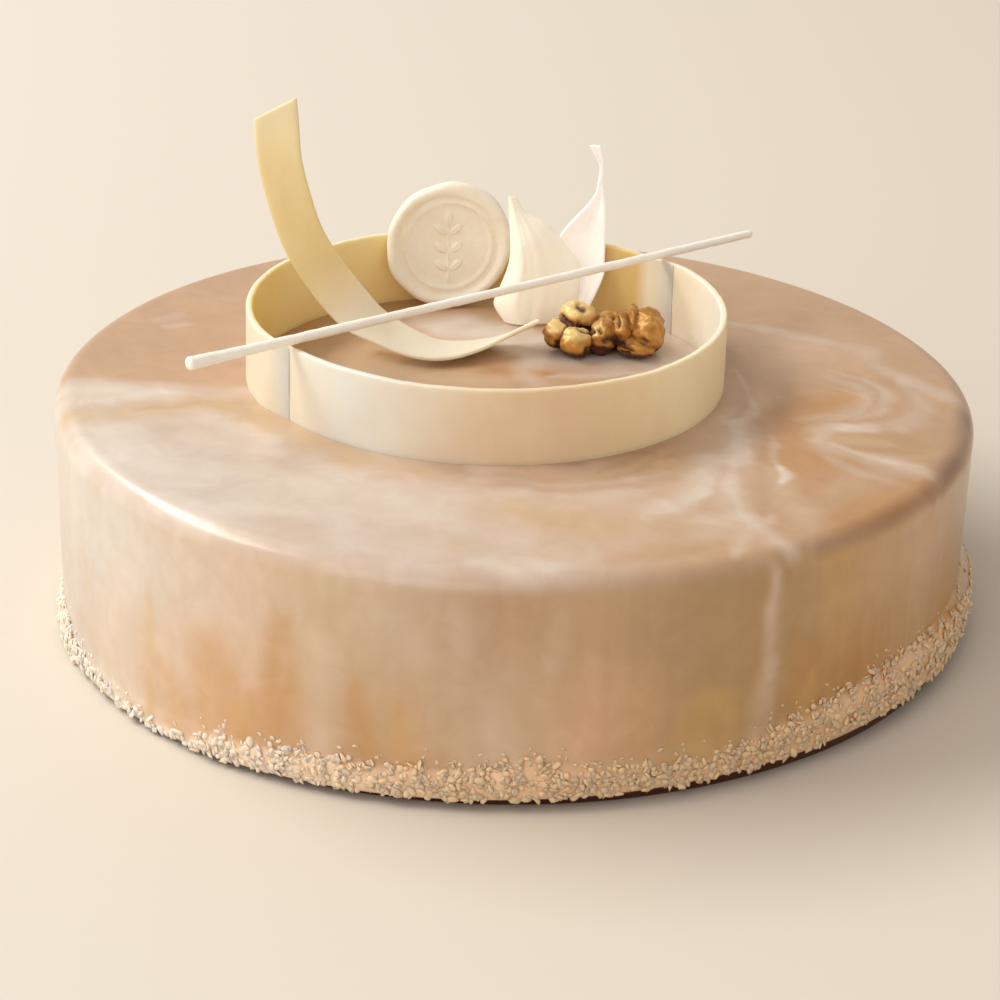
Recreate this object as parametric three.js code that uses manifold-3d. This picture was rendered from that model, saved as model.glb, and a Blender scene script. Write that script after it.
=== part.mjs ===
// Round glazed cheesecake, whole and uncut, on its own foot, with chocolate
// decorations and a gilded walnut half on top.
// Millimetres, +Z up. The origin is the centre of the foot, and -Y is the front.

import * as THREE from 'three';
import { mergeVertices } from 'three/addons/utils/BufferGeometryUtils.js';
import Module from 'manifold-3d';

const wasm = await Module();
wasm.setup();

// Cake
const cakeRadius = 120;
const cakeHeight = 60.9; // to the middle of the top
const topSlope = 0.0262; // the top falls towards +X, per millimetre
const shoulderRadius = 5.4;
const sideWave = 0.35; // how far the side wanders in and out
const sideInset = 2.2; // the +X side falls this far inwards down to the band
const cakeSegments = 84;

// Foot and the band of flakes round it
const footRadius = 117.5;
const footHeight = 2.6;
const footSlope = 0.016; // the glaze's lower edge rises towards +X
const bandHeight = 11.5;
const bandSlope = 0.037; // the band is taller towards +X
const bandDepth = 1.1;
const bandJitter = 0.6; // how rough the band is
const flakeCount = 125;
const flakeLength = [2.6, 4.6];
const flakeWidth = [1.8, 3];
const flakeThickness = [1.8, 2.8];

// Everything on top stands this clear of the glaze and of its neighbours
const gap = 0.3;

// Ring: two half bands that overlap at both joints
const ringCentre = [-7.6, 7.8];
const ringRadius = 62.1;
const ringHeight = 19.7;
const ringWall = 1.8;
const frontJoint = 212; // degrees from +X, at the front left
const backJoint = 38; // at the back right
const ringOverlap = 3.5; // degrees past each joint

// Stick across the ring
const stickStart = new THREE.Vector3(-81.5, -47, 22.2);
const stickEnd = new THREE.Vector3(65, 65.5, 21.7);
const stickRadius = 1.1;
const stickSwell = [[0.35, 60], [0.35, 8]]; // extra radius at the start, and its fading length

// Curled ribbon, from the walnut to its free top end: centre and roll in degrees
const ribbonWidth = 11.6;
const ribbonThickness = 1.3;
const ribbonCut = 4.5; // how much longer the right edge is at the top
const ribbonRoute = [
  [6.6, 27, 8.6, -19],
  [-6, 25, 3.2, -16],
  [-22, 17.5, 3.4, 7],
  [-36.5, 20.5, 8, 30],
  [-46, 22.5, 15.5, 69],
  [-56.5, 23.5, 31, 91],
  [-62.5, 24.5, 50, 98],
  [-64.5, 28, 65.5, 91],
];

// Seal: a disc with a rolled rim and a leaf sprig in its recess
const sealRadius = 17.5;
const sealThickness = 3.6;
const sealRecess = 13.7;
const sealRecessDepth = 1.4;
const sealPlace = [-18.2, 56.6, gap]; // lowest point of its front face
const sealLean = 6; // degrees, backwards
const sealTurn = 8; // degrees, the left edge comes forward
const leafLength = 4.6;
const leafWidth = 2;
const leafRelief = 0.8;
const leafPairs = 3;

// Petals: the left and right outline of each, upwards, as x, y and height
const petalThickness = 1;
const leftPetal = {
  left: [
    [-2.5, 47.5, 0.5],
    [-5.5, 48.5, 5],
    [-4.5, 49.5, 8.5],
    [-1.5, 51.5, 17.5],
    [-2, 53.5, 30],
    [-2.4, 54, 34.3],
  ],
  right: [
    [11.5, 48, 0.5],
    [16.5, 49.5, 4.5],
    [17.5, 53, 14.5],
    [14, 54, 20],
    [8, 54, 26.7],
    [2.5, 54, 29.4],
    [-0.8, 54, 34.3],
  ],
  ridge: 0.27, // where its fold stands, across
  depth: 4.5, // how far the fold comes forward
};
const rightPetal = {
  left: [
    [14, 54, 0.5],
    [14.5, 56, 9],
    [12.5, 58, 18],
    [12.4, 58, 22.5],
    [20.3, 57, 33],
    [22, 57, 38.5],
    [22, 57, 43],
    [19.1, 57, 48.5],
  ],
  right: [
    [19.5, 53.5, 0.5],
    [24, 54.5, 11.5],
    [24.2, 55.5, 17],
    [24.2, 56, 22.5],
    [24, 56, 29.5],
    [23.2, 57, 37],
    [23.2, 57, 42.5],
    [22, 57, 48.5],
  ],
  ridge: 0.5,
  depth: -3, // cupped: its middle lies further back
};

// Walnut half: its lobes as centre and half sizes
const walnutLobes = [
  { at: [16.9, 31, 8.4], size: [4.7, 4.6, 4.3] },
  { at: [11.2, 26.5, 5], size: [3.3, 4.2, 3.6] },
  { at: [16.4, 23.4, 4.2], size: [4.3, 4.6, 3.9] },
  { at: [23.6, 26, 4.7], size: [3.6, 5.6, 4.4] },
  { at: [28.6, 26.5, 6.8], size: [2.1, 5.2, 4.4] },
  { at: [31.7, 29.5, 8.6], size: [1.7, 5, 3.6] },
  { at: [35.8, 28, 6.4], size: [4.3, 7.4, 5.6] },
  { at: [32.6, 23.2, 3.1], size: [4.8, 4, 2.7] },
  { at: [18, 32.5, 4.6], size: [8.4, 5.6, 4.3] },
  { at: [29, 32.5, 4.9], size: [8.6, 5.8, 4.6] },
];

const radians = THREE.MathUtils.degToRad;
const lerp = THREE.MathUtils.lerp;
const clamp = THREE.MathUtils.clamp;

// The same numbers between 0 and 1 on every run
function seededRandom(seed) {
  let state = seed;
  return () => {
    state = (state * 1664525 + 1013904223) % 4294967296;
    return state / 4294967296;
  };
}

// Position-only geometry with shared vertices and no flat triangles
function closedMesh(geometry) {
  const bare = new THREE.BufferGeometry();
  bare.setAttribute('position', geometry.getAttribute('position').clone());
  bare.setIndex(geometry.getIndex());
  const merged = mergeVertices(bare, 1e-4);
  const index = merged.getIndex().array;
  const kept = [];
  for (let i = 0; i < index.length; i += 3) {
    const [a, b, c] = index.slice(i, i + 3);
    if (a !== b && b !== c && c !== a) {
      kept.push(a, b, c);
    }
  }
  merged.setIndex(kept);
  return merged;
}

// Moves each vertex of a geometry by a rule
function reshape(geometry, rule) {
  const position = geometry.getAttribute('position');
  const point = new THREE.Vector3();
  for (let i = 0; i < position.count; i += 1) {
    rule(point.fromBufferAttribute(position, i));
    position.setXYZ(i, point.x, point.y, point.z);
  }
  return geometry;
}

function toSolid(geometry) {
  const mesh = closedMesh(geometry);
  return new wasm.Manifold(new wasm.Mesh({
    numProp: 3,
    vertProperties: new Float32Array(mesh.getAttribute('position').array),
    triVerts: new Uint32Array(mesh.getIndex().array),
  }));
}

// Joins solids and keeps the largest body, so sealed hollows and scraps go
function join(solids) {
  const joined = solids.reduce((sum, solid) => sum.add(solid));
  const bodies = joined.decompose();
  const largest = bodies.reduce((best, body) => (body.volume() > best.volume() ? body : best));
  const mesh = largest.getMesh();
  const geometry = new THREE.BufferGeometry();
  geometry.setAttribute('position', new THREE.Float32BufferAttribute(mesh.vertProperties, 3));
  geometry.setIndex(Array.from(mesh.triVerts));
  return geometry;
}

function piece(name, geometry, color, roughness, metalness = 0) {
  const material = new THREE.MeshStandardMaterial({ color, roughness, metalness });
  const mesh = new THREE.Mesh(closedMesh(geometry), material);
  mesh.name = name;
  return mesh;
}

// How far a height on the side has to rise with x, so that the foot stays
// level, the glaze's lower edge climbs and the top falls towards +X
function sideShift(height) {
  if (height < footHeight) {
    return footSlope * height / footHeight;
  }
  const share = (height - footHeight) / (cakeHeight - footHeight);
  return lerp(footSlope, -topSlope, share);
}

function bandTop(x) {
  return bandHeight + bandSlope * x;
}

// Foot, band of flakes, side, round shoulder and flat top, turned round the axis
function cakeBody() {
  const profile = [
    [0, 0],
    [footRadius, 0],
    [footRadius, footHeight],
    [cakeRadius + bandDepth * 0.6, footHeight],
    [cakeRadius + bandDepth, footHeight + 2.6],
    [cakeRadius + bandDepth, bandHeight - 2.6],
    [cakeRadius, bandHeight],
    [cakeRadius, 26],
    [cakeRadius, 41],
  ];
  const shoulderSteps = 5;
  for (let i = 0; i <= shoulderSteps; i += 1) {
    const turn = (i / shoulderSteps) * Math.PI / 2;
    profile.push([
      cakeRadius - shoulderRadius * (1 - Math.cos(turn)),
      cakeHeight - shoulderRadius * (1 - Math.sin(turn)),
    ]);
  }
  profile.push([90, cakeHeight], [55, cakeHeight], [0, cakeHeight]);
  const points = profile.map(([radius, height]) => new THREE.Vector2(radius, height));
  const lathe = new THREE.LatheGeometry(points, cakeSegments).rotateX(Math.PI / 2);
  const body = closedMesh(lathe);
  const random = seededRandom(3);
  return reshape(body, (point) => {
    const radius = Math.hypot(point.x, point.y);
    const angle = Math.atan2(point.y, point.x);
    const onSide = radius > footRadius + 1;
    const inBand = onSide && point.z < bandHeight + 0.1;
    const wave = Math.sin(3 * angle + 1) + 0.6 * Math.sin(7 * angle) + 0.3 * Math.sin(13 * angle);
    const lower = clamp((cakeHeight - shoulderRadius - point.z) / (cakeHeight - bandHeight), 0, 1);
    const inset = inBand && point.z < bandHeight - 0.1 ? 0 : lower * Math.max(Math.cos(angle), 0) ** 2;
    const outward = onSide ? sideWave * wave / 1.9 - sideInset * inset : 0;
    const rough = inBand ? bandJitter * (random() - 0.5) * 2 : 0;
    const stretch = 1 + (outward + rough) / cakeRadius;
    if (inBand) {
      const above = clamp((point.z - footHeight) / (bandHeight - footHeight), 0, 1);
      point.z += above * (bandSlope * point.x + 2 * bandJitter * (random() - 0.5) * 2);
    }
    point.x *= stretch;
    point.y *= stretch;
    point.z += sideShift(point.z) * point.x;
  });
}

// One flake: a three-sided splinter with every corner pushed about
function flake(random) {
  const splinter = closedMesh(new THREE.CylinderGeometry(0.6, 0.6, 1, 3));
  const [length, width, thickness] = [flakeLength, flakeWidth, flakeThickness]
    .map(([low, high]) => lerp(low, high, random()));
  reshape(splinter, (corner) => {
    corner.x = (corner.x + 0.4 * (random() - 0.5)) * width;
    corner.y = (corner.y + 0.3 * (random() - 0.5)) * length;
    corner.z = (corner.z + 0.3 * (random() - 0.5)) * thickness;
  });
  splinter.rotateX((random() - 0.5) * 1);
  splinter.rotateY((random() - 0.5) * 2.2);
  splinter.rotateZ((random() - 0.5) * Math.PI);
  return splinter;
}

// Flakes all round, spread evenly over the band by two golden steps
function bandFlakes() {
  const random = seededRandom(7);
  const flakes = [];
  for (let i = 0; i < flakeCount; i += 1) {
    const angle = (i * 0.7548776662 % 1) * Math.PI * 2;
    const share = i * 0.5698402910 % 1;
    const x = cakeRadius * Math.cos(angle);
    const height = lerp(footHeight + 1.2, bandTop(x) + 0.8, share);
    const outward = new THREE.Group();
    outward.position.set(x, cakeRadius * Math.sin(angle), height + sideShift(height) * x);
    outward.position.multiply(new THREE.Vector3(1.0095, 1.0095, 1));
    // Local z points outwards and local y upwards
    outward.rotation.set(Math.PI / 2, 0, angle + Math.PI / 2, 'ZYX');
    outward.updateMatrix();
    flakes.push(flake(random).applyMatrix4(outward.matrix));
  }
  return flakes;
}

// Half of the ring: an arc whose centre sits a little towards its outer end,
// so that the other half tucks in behind it
function ringHalf(outerJoint, innerJoint) {
  const shift = (ringWall + gap + 0.1) / 2;
  const toJoint = radians(outerJoint);
  const centre = [
    ringCentre[0] + shift * Math.cos(toJoint),
    ringCentre[1] + shift * Math.sin(toJoint),
  ];
  const first = radians(Math.min(outerJoint, innerJoint) - ringOverlap);
  const last = radians(Math.max(outerJoint, innerJoint) + ringOverlap);
  const outline = new THREE.Shape();
  outline.absarc(...centre, ringRadius, first, last, false);
  outline.absarc(...centre, ringRadius - ringWall, last, first, true);
  const band = new THREE.ExtrudeGeometry(outline, {
    depth: ringHeight,
    bevelEnabled: false,
    curveSegments: 32,
  });
  return band.translate(0, 0, gap);
}

// A straight stick with round ends, thicker at its start
function stick() {
  const length = stickStart.distanceTo(stickEnd);
  const radiusAt = (along) => stickSwell.reduce(
    (radius, [extra, fade]) => radius + extra * Math.exp(-along / fade),
    stickRadius,
  );
  const points = [new THREE.Vector2(0, 0)];
  const steps = 12;
  for (let i = 0; i <= steps; i += 1) {
    const along = lerp(0.7, length - 0.5, (i / steps) ** 1.6);
    points.push(new THREE.Vector2(radiusAt(along), along));
  }
  points.splice(1, 0, new THREE.Vector2(radiusAt(0) * 0.6, 0.05));
  points.push(new THREE.Vector2(stickRadius * 0.6, length), new THREE.Vector2(0, length));
  const rod = new THREE.LatheGeometry(points, 10);
  const axis = stickEnd.clone().sub(stickStart).normalize();
  rod.applyQuaternion(new THREE.Quaternion().setFromUnitVectors(new THREE.Vector3(0, 1, 0), axis));
  return rod.translate(...stickStart.toArray());
}

// A thin sheet: a block whose width follows surface(across, along) and whose
// thickness lies along the surface's normal
function sheet(surface, thickness, stepsAcross, stepsAlong) {
  const block = new THREE.BoxGeometry(1, 1, 1, stepsAcross, 1, stepsAlong);
  const small = 1e-3;
  return reshape(block, (point) => {
    const across = point.x + 0.5;
    const along = point.z + 0.5;
    const side = point.y * thickness;
    const alongStep = surface(across, Math.min(along + small, 1))
      .sub(surface(across, Math.max(along - small, 0)));
    const acrossStep = surface(Math.min(across + small, 1), along)
      .sub(surface(Math.max(across - small, 0), along));
    const normal = alongStep.cross(acrossStep).normalize();
    point.copy(surface(across, along)).addScaledVector(normal, side);
  });
}

function smoothCurve(points) {
  return new THREE.CatmullRomCurve3(
    points.map(([x, y, z]) => new THREE.Vector3(x, y, z)),
    false,
    'catmullrom',
    0.5,
  );
}

// The ribbon lies flat near the walnut, rolls on edge and rises to its free end
function ribbon() {
  const route = smoothCurve(ribbonRoute);
  const rolls = smoothCurve(ribbonRoute.map(([, , , roll]) => [roll, 0, 0]));
  const sideways = new THREE.Vector3(0, 1, 0);
  const surface = (across, along) => {
    const centre = route.getPoint(along);
    const tangent = route.getTangent(along);
    const level = sideways.clone().addScaledVector(tangent, -tangent.y).normalize();
    const upright = level.clone().cross(tangent);
    const roll = radians(rolls.getPoint(along).x);
    const offset = (across - 0.5) * ribbonWidth;
    const cut = (across - 0.5) * ribbonCut * clamp((along - 0.9) / 0.1, 0, 1);
    return centre
      .addScaledVector(level, offset * Math.cos(roll))
      .addScaledVector(upright, offset * Math.sin(roll))
      .addScaledVector(tangent, cut);
  };
  return sheet(surface, ribbonThickness, 2, 44);
}

// A petal spans its two outlines and is folded or cupped between them
function petal({ left, right, ridge, depth }) {
  const leftEdge = smoothCurve(left);
  const rightEdge = smoothCurve(right);
  const surface = (across, along) => {
    const point = leftEdge.getPoint(along).lerp(rightEdge.getPoint(along), across);
    const fold = across < ridge ? across / ridge : (1 - across) / (1 - ridge);
    const fade = Math.sin(Math.PI * lerp(0.12, 1, along)) ** 0.7;
    const width = clamp(leftEdge.getPoint(along).distanceTo(rightEdge.getPoint(along)) / 12, 0, 1);
    point.y -= depth * Math.sin(fold * Math.PI / 2) * fade * width;
    return point;
  };
  return sheet(surface, petalThickness, 7, 12);
}

// Leaves in pairs up a short stem, with one at the tip, on the seal's recess
function sprig() {
  const floor = sealThickness - sealRecessDepth;
  const stemLength = leafLength * (leafPairs + 0.6);
  const stem = new THREE.CylinderGeometry(0.4, 0.5, stemLength, 6);
  const parts = [stem.translate(0, -leafLength * 0.3, floor)];
  const leafAt = (x, y, turn) => {
    const leaf = new THREE.SphereGeometry(1, 8, 5);
    leaf.scale(leafWidth / 2, leafLength / 2, leafRelief);
    leaf.translate(0, leafLength / 2, 0);
    leaf.rotateZ(turn);
    return leaf.translate(x, y, floor);
  };
  for (let i = 0; i < leafPairs; i += 1) {
    const y = lerp(-leafLength * 1.5, leafLength * 0.7, i / (leafPairs - 1));
    parts.push(leafAt(0.2, y, -0.9), leafAt(-0.2, y, 0.9));
  }
  parts.push(leafAt(0, leafLength * 1.15, 0));
  return parts.map(toSolid);
}

// A pressed disc: flat back, rolled uneven rim, sunk middle
function seal() {
  const floor = sealThickness - sealRecessDepth;
  const profile = [
    [0, 0],
    [sealRadius * 0.92, 0],
    [sealRadius * 0.985, 0.8],
    [sealRadius, 1.9],
    [sealRadius * 0.97, 3],
    [sealRadius * 0.9, sealThickness],
    [sealRecess + 0.5, sealThickness - 0.2],
    [sealRecess, floor + 0.1],
    [sealRecess * 0.93, floor],
    [0, floor],
  ];
  const points = profile.map(([radius, height]) => new THREE.Vector2(radius, height));
  const disc = new THREE.LatheGeometry(points, 36).rotateX(Math.PI / 2);
  reshape(disc, (point) => {
    const radius = Math.hypot(point.x, point.y);
    const angle = Math.atan2(point.y, point.x);
    const rim = clamp((radius - sealRecess) / (sealRadius - sealRecess), 0, 1);
    const smear = 0.5 * Math.cos(angle - 0.9) + 0.3 * Math.cos(2 * angle - 1.8);
    const wander = 0.15 * Math.sin(5 * angle + 2);
    const stretch = 1 + rim * (smear + wander) / sealRadius;
    point.x *= stretch;
    point.y *= stretch;
    if (point.z > floor + 0.3) {
      point.z += rim * 0.3 * Math.sin(3 * angle + 1);
    }
  });
  const pressed = join([toSolid(disc), ...sprig()]);
  // Stand it up: its face turns to the front, then it leans back and turns
  pressed.translate(0, sealRadius, -sealThickness);
  pressed.rotateX(Math.PI / 2 - radians(sealLean));
  pressed.rotateZ(radians(sealTurn));
  return pressed.translate(...sealPlace);
}

function walnut() {
  return join(walnutLobes.map(({ at, size }) => {
    const lobe = new THREE.SphereGeometry(1, 8, 6).scale(...size).translate(...at);
    return toSolid(lobe.translate(0, 0, gap));
  }));
}

const cake = piece('cake', join([cakeBody(), ...bandFlakes()].map(toSolid)), '#d9b491', 0.25);

const topping = new THREE.Group();
topping.position.z = cakeHeight;
topping.rotation.y = Math.atan(topSlope);
topping.add(piece('ring_back', ringHalf(frontJoint, backJoint), '#efdfb6', 0.45));
topping.add(piece('ring_front', ringHalf(backJoint + 360, frontJoint), '#efdfb6', 0.45));
topping.add(piece('stick', stick(), '#f1e6da', 0.5));
topping.add(piece('ribbon', ribbon(), '#efdfb6', 0.45));
topping.add(piece('seal', seal(), '#ecdcc4', 0.5));
topping.add(piece('petal_left', petal(leftPetal), '#f2e4c8', 0.45));
topping.add(piece('petal_right', petal(rightPetal), '#f5e9d4', 0.45));
topping.add(piece('walnut', walnut(), '#c8912f', 0.3, 0.9));

const cheesecake = new THREE.Group();
cheesecake.add(cake, topping);

export default cheesecake;
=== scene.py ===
import math

import bpy
import numpy as np
from mathutils import Matrix, Vector


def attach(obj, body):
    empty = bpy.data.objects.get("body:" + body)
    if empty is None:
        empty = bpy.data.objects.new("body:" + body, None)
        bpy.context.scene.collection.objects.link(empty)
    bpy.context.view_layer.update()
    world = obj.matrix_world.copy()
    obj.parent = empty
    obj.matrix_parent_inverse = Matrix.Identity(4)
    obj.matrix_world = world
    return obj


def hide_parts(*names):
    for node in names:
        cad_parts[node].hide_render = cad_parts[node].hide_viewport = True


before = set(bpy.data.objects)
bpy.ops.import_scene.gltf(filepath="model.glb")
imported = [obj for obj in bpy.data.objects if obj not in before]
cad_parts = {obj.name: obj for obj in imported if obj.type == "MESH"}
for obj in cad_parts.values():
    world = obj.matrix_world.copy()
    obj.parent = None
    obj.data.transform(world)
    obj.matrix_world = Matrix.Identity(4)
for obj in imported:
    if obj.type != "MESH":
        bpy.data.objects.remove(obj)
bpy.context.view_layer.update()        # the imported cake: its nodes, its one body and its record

# A round glazed cheesecake with a chocolate ring, ribbon, stick, seal, petals
# and a gilded walnut half on top. Metres, +Z up, -Y is the front.

mm = 0.001
topHeight = 0.0609       # to the middle of the cake's top
topSlope = 0.0262        # which falls towards +X
print("frame loaded, nodes:", ", ".join(sorted(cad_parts)))


# Numbers and curves

def smoothStep(value, low, high):
    # 3t^2 - 2t^3, where t runs from 0 at low to 1 at high
    t = np.clip((value - low) / (high - low), 0, 1)
    return t * t * (3 - 2 * t)


def noise(u, v, seed, turn=256):
    # Value noise from -1 to 1: random numbers on a lattice of unit cells, blended
    # by 3t^2 - 2t^3. It comes round again after turn cells along u.
    cells = np.random.default_rng(seed).random((turn, 256)) * 2 - 1
    i, j = np.floor(u).astype(int), np.floor(v).astype(int)
    a, b = u - i, v - j
    a, b = a * a * (3 - 2 * a), b * b * (3 - 2 * b)
    here, ahead, low, high = i % turn, (i + 1) % turn, j % 256, (j + 1) % 256
    return ((cells[here, low] * (1 - a) + cells[ahead, low] * a) * (1 - b)
            + (cells[here, high] * (1 - a) + cells[ahead, high] * a) * b)


def smoothCurve(points, t):
    # Uniform Catmull-Rom curve through the points, with its ends reflected
    points = np.array(points, float)
    ends = np.vstack([2 * points[0] - points[1], points, 2 * points[-1] - points[-2]])
    at = np.clip(t, 0, 1) * (len(points) - 1)
    i = np.minimum(at.astype(int), len(points) - 2)
    w = (at - i)[..., None]
    a, b, c, d = (ends[i + k] for k in range(4))
    return 0.5 * (2 * b + (c - a) * w + (2 * a - 5 * b + 4 * c - d) * w ** 2
                  + (3 * b - a - 3 * c + d) * w ** 3)


def linear(colour):
    # sRGB from 0 to 255 into linear light
    share = np.array(colour, float) / 255
    return np.where(share <= 0.04045, share / 12.92, ((share + 0.055) / 1.055) ** 2.4)


def zoned(where, places, names, palette):
    # A palette's colours blended in linear light between the places that hold them
    found = linear([palette[name] for name in names])
    return np.stack([np.interp(where, places, found[:, k]) for k in range(3)], -1)


def blend(first, second, share):
    # first where the share is 0, second where it is 1
    return first + (second - first) * share[..., None]


def spun(a, b, angle):
    # Two coordinates turned about the third axis
    c, s = np.cos(angle), np.sin(angle)
    return a * c - b * s, a * s + b * c


def unit(vectors):
    # Vectors of length 1
    return vectors / np.maximum(np.linalg.norm(vectors, axis=-1, keepdims=True), 1e-12)


# Meshes

def addObject(name, data):
    # At the origin, untransformed
    made = bpy.data.objects.new(name, data)
    bpy.context.scene.collection.objects.link(made)
    return made


def makePiece(name, points, faces, material, slotName, nodes, colours=None):
    # faces is a list of arrays, each with the same number of corners a row
    corners = np.concatenate([f.ravel() for f in faces]).astype(np.int32)
    counts = np.concatenate([np.full(len(f), f.shape[1]) for f in faces])
    mesh = bpy.data.meshes.new(name)
    mesh.vertices.add(len(points))
    mesh.vertices.foreach_set("co", np.ascontiguousarray(points, np.float32).ravel())
    mesh.loops.add(len(corners))
    mesh.loops.foreach_set("vertex_index", corners)
    mesh.polygons.add(len(counts))
    mesh.polygons.foreach_set("loop_start", (np.cumsum(counts) - counts).astype(np.int32))
    mesh.polygons.foreach_set("use_smooth", np.ones(len(counts), bool))
    mesh.update(calc_edges=True)
    mesh.validate()
    if colours is not None:
        layer = mesh.attributes.new("paint", "FLOAT_COLOR", "POINT")
        full = np.ones((len(points), 4), np.float32)
        full[:, :colours.shape[1]] = colours
        layer.data.foreach_set("color", full.ravel())
    mesh.materials.append(material)
    piece = addObject(name, mesh)
    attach(piece, "root")
    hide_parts(*nodes)
    print(name, "triangles:", int((counts - 2).sum()))


def withEnds(rows):
    # Points or colours row after row, and then those of the two ends' middles
    return np.concatenate([rows.reshape(-1, 3), [rows[0].mean(0)], [rows[-1].mean(0)]])


def loftFaces(loops):
    # Quads between closed loops, row after row, and a fan at each end. The faces
    # are turned over if the volume that they enclose comes out negative.
    rows, around = loops.shape[:2]
    points = withEnds(loops)
    index = np.arange(rows * around).reshape(rows, around)
    ahead = np.roll(index, -1, axis=1)
    quads = np.stack([index[:-1], ahead[:-1], ahead[1:], index[1:]], -1).reshape(-1, 4)
    first = np.stack([ahead[0], index[0], np.full(around, rows * around)], -1)
    last = np.stack([index[-1], ahead[-1], np.full(around, rows * around + 1)], -1)
    a, b, c, d = (points[quads[:, k]] for k in range(4))
    volume = (np.cross(b, c) * a).sum() + (np.cross(c, d) * a).sum()
    faces = [quads, np.concatenate([first, last])]
    return points, faces if volume > 0 else [f[:, ::-1] for f in faces]


def topping(points):
    # From the toppings' own frame, which lies on the sloping top, into the cake's
    x, z = spun(points[..., 0], points[..., 2], -math.atan(topSlope))
    return np.stack([x, points[..., 1], topHeight + z], -1)


sheetSection = {
    "edgeThin": 0.35,        # how much thinner the edges are than the middle
    "edgeWide": 0.06,        # and over which share of the width
    "bulge": 0.1,            # how far the edges stand out, as a share of the thickness
    "edgeSteps": 5,
    "ends": [(0, 0.45), (0.0008, 0.75), (0.003, 0.93)],    # share along, and thickness
    "even": 0.007,           # where even steps along it begin
}


def sheetLoops(surface, thickness, across, along, look=sheetSection):
    # A thin closed sheet: one loop of points round its section at each step along.
    # surface(across, along) is its middle, and its thickness follows the normal. It
    # thins towards its edges, which stand out as half an ellipse, and at its ends.
    steps, even = look["edgeSteps"], look["even"]
    turn = np.linspace(0, math.pi, steps + 2)[1:-1]
    flat, none, full = np.linspace(0, 1, across), np.zeros(across), np.ones(across)
    share = np.concatenate([flat, np.ones(steps), flat[::-1], np.zeros(steps)])
    side = 0.5 * np.concatenate([full, np.cos(turn), -full, -np.cos(turn)])
    out = look["bulge"] * np.concatenate([none, np.sin(turn), none, -np.sin(turn)])
    near = smoothStep(np.minimum(share, 1 - share), 0, look["edgeWide"])
    side = side * (1 - look["edgeThin"] * (1 - near))
    places, closing = np.array(look["ends"]).T
    t = np.concatenate([places, np.linspace(even, 1 - even, along), 1 - places[::-1]])
    deep = thickness * np.concatenate([closing, np.ones(along), closing[::-1]])[:, None]
    u, v = np.meshgrid(share, t)
    small = 1e-3
    up = surface(u, np.minimum(v + small, 1)) - surface(u, np.maximum(v - small, 0))
    over = surface(np.minimum(u + small, 1), v) - surface(np.maximum(u - small, 0), v)
    normal = unit(np.cross(up, over))
    return surface(u, v) + unit(over) * (out * deep)[..., None] + normal * (side * deep)[..., None]


# Shader nodes

class Signal:
    # One output of a node, with the operators that add Math nodes to its tree

    def __init__(self, tree, socket=None):
        self.tree = tree
        self.socket = socket

    def node(self, kind, settings=None, sockets=None, output=0):
        # Any node: its type, then its settings, then the values or links of its sockets
        made = self.tree.nodes.new("ShaderNode" + kind)
        for key, value in (settings or {}).items():
            setattr(made, key, value)
        for key, value in (sockets or {}).items():
            if isinstance(value, Signal):
                self.tree.links.new(value.socket, made.inputs[key])
            else:
                made.inputs[key].default_value = value
        return Signal(self.tree, made.outputs[output])

    def maths(self, operation, *values):
        return self.node("Math", {"operation": operation}, dict(enumerate(values)))

    def __add__(self, other):
        return self.maths("ADD", self, other)

    def __sub__(self, other):
        return self.maths("SUBTRACT", self, other)

    def __rsub__(self, other):
        return self.maths("SUBTRACT", other, self)

    def __mul__(self, other):
        return self.maths("MULTIPLY", self, other)

    __radd__ = __add__
    __rmul__ = __mul__

    def between(self, low, high):
        # 0 below low, 1 above high, smooth in between
        return self.node("MapRange", {"interpolation_type": "SMOOTHSTEP"},
                         {"Value": self, "From Min": low, "From Max": high})

    def mix(self, first, second):
        # first where this signal is 0, second where it is 1
        return self.node("Mix", {"data_type": "RGBA"}, {0: self, 6: first, 7: second}, output=2)


def colour4(colour):
    return (*[float(x) for x in linear(colour)], 1.0)


def newMaterial(name, constants):
    # A material with one Principled shader, its constant sockets set by name
    material = bpy.data.materials.new(name)
    material.use_nodes = True
    tree = material.node_tree
    shader = next(n for n in tree.nodes if n.type == "BSDF_PRINCIPLED")
    for key, value in constants.items():
        shader.inputs[key].default_value = value
    return material, Signal(tree), shader


def feed(shader, key, signal):
    signal.tree.links.new(signal.socket, shader.inputs[key])


def grain(start, scale, detail=3, rough=0.55, stretch=(1, 1, 1), warp=0.0):
    # Noise in the object's own coordinates, stretched along its axes
    place = start.node("TexCoord", output=3)
    place = start.node("Mapping", {}, {"Vector": place, "Scale": stretch})
    return start.node("TexNoise", {}, {"Vector": place, "Scale": scale, "Detail": detail,
                                       "Roughness": rough, "Distortion": warp})


def painted(start, output=0):
    # The piece's own painted colours, or their mean at output 2
    return start.node("Attribute", {"attribute_name": "paint"}, output=output)


def paintThrough(start, shader, shade, darkest):
    # Base colour: the painted colours times a tint, from darkest where shade is 0
    # to white where it is 1
    tint = shade.mix(colour4(darkest), colour4((255, 255, 255)))
    feed(shader, "Base Color", start.node("Mix", {"data_type": "RGBA", "blend_type": "MULTIPLY"},
                                          {0: 1.0, 6: painted(start), 7: tint}, output=2))


def bumpOn(shader, height, distance):
    feed(shader, "Normal", height.node("Bump", {}, {"Height": height, "Distance": distance,
                                                    "Strength": 0.5}))


# Camera

cameraView = {
    "place": (0, -0.86934, 0.40432),
    "yaw": -0.21662,        # degrees from the line to the origin, to the right
    "pitch": 1.5694,        # and upwards
    "roll": 0.1002,
    "lens": 128.371,        # millimetres, as the sensor
    "sensor": 36,
    "clip": (0.05, 50),
}


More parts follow.
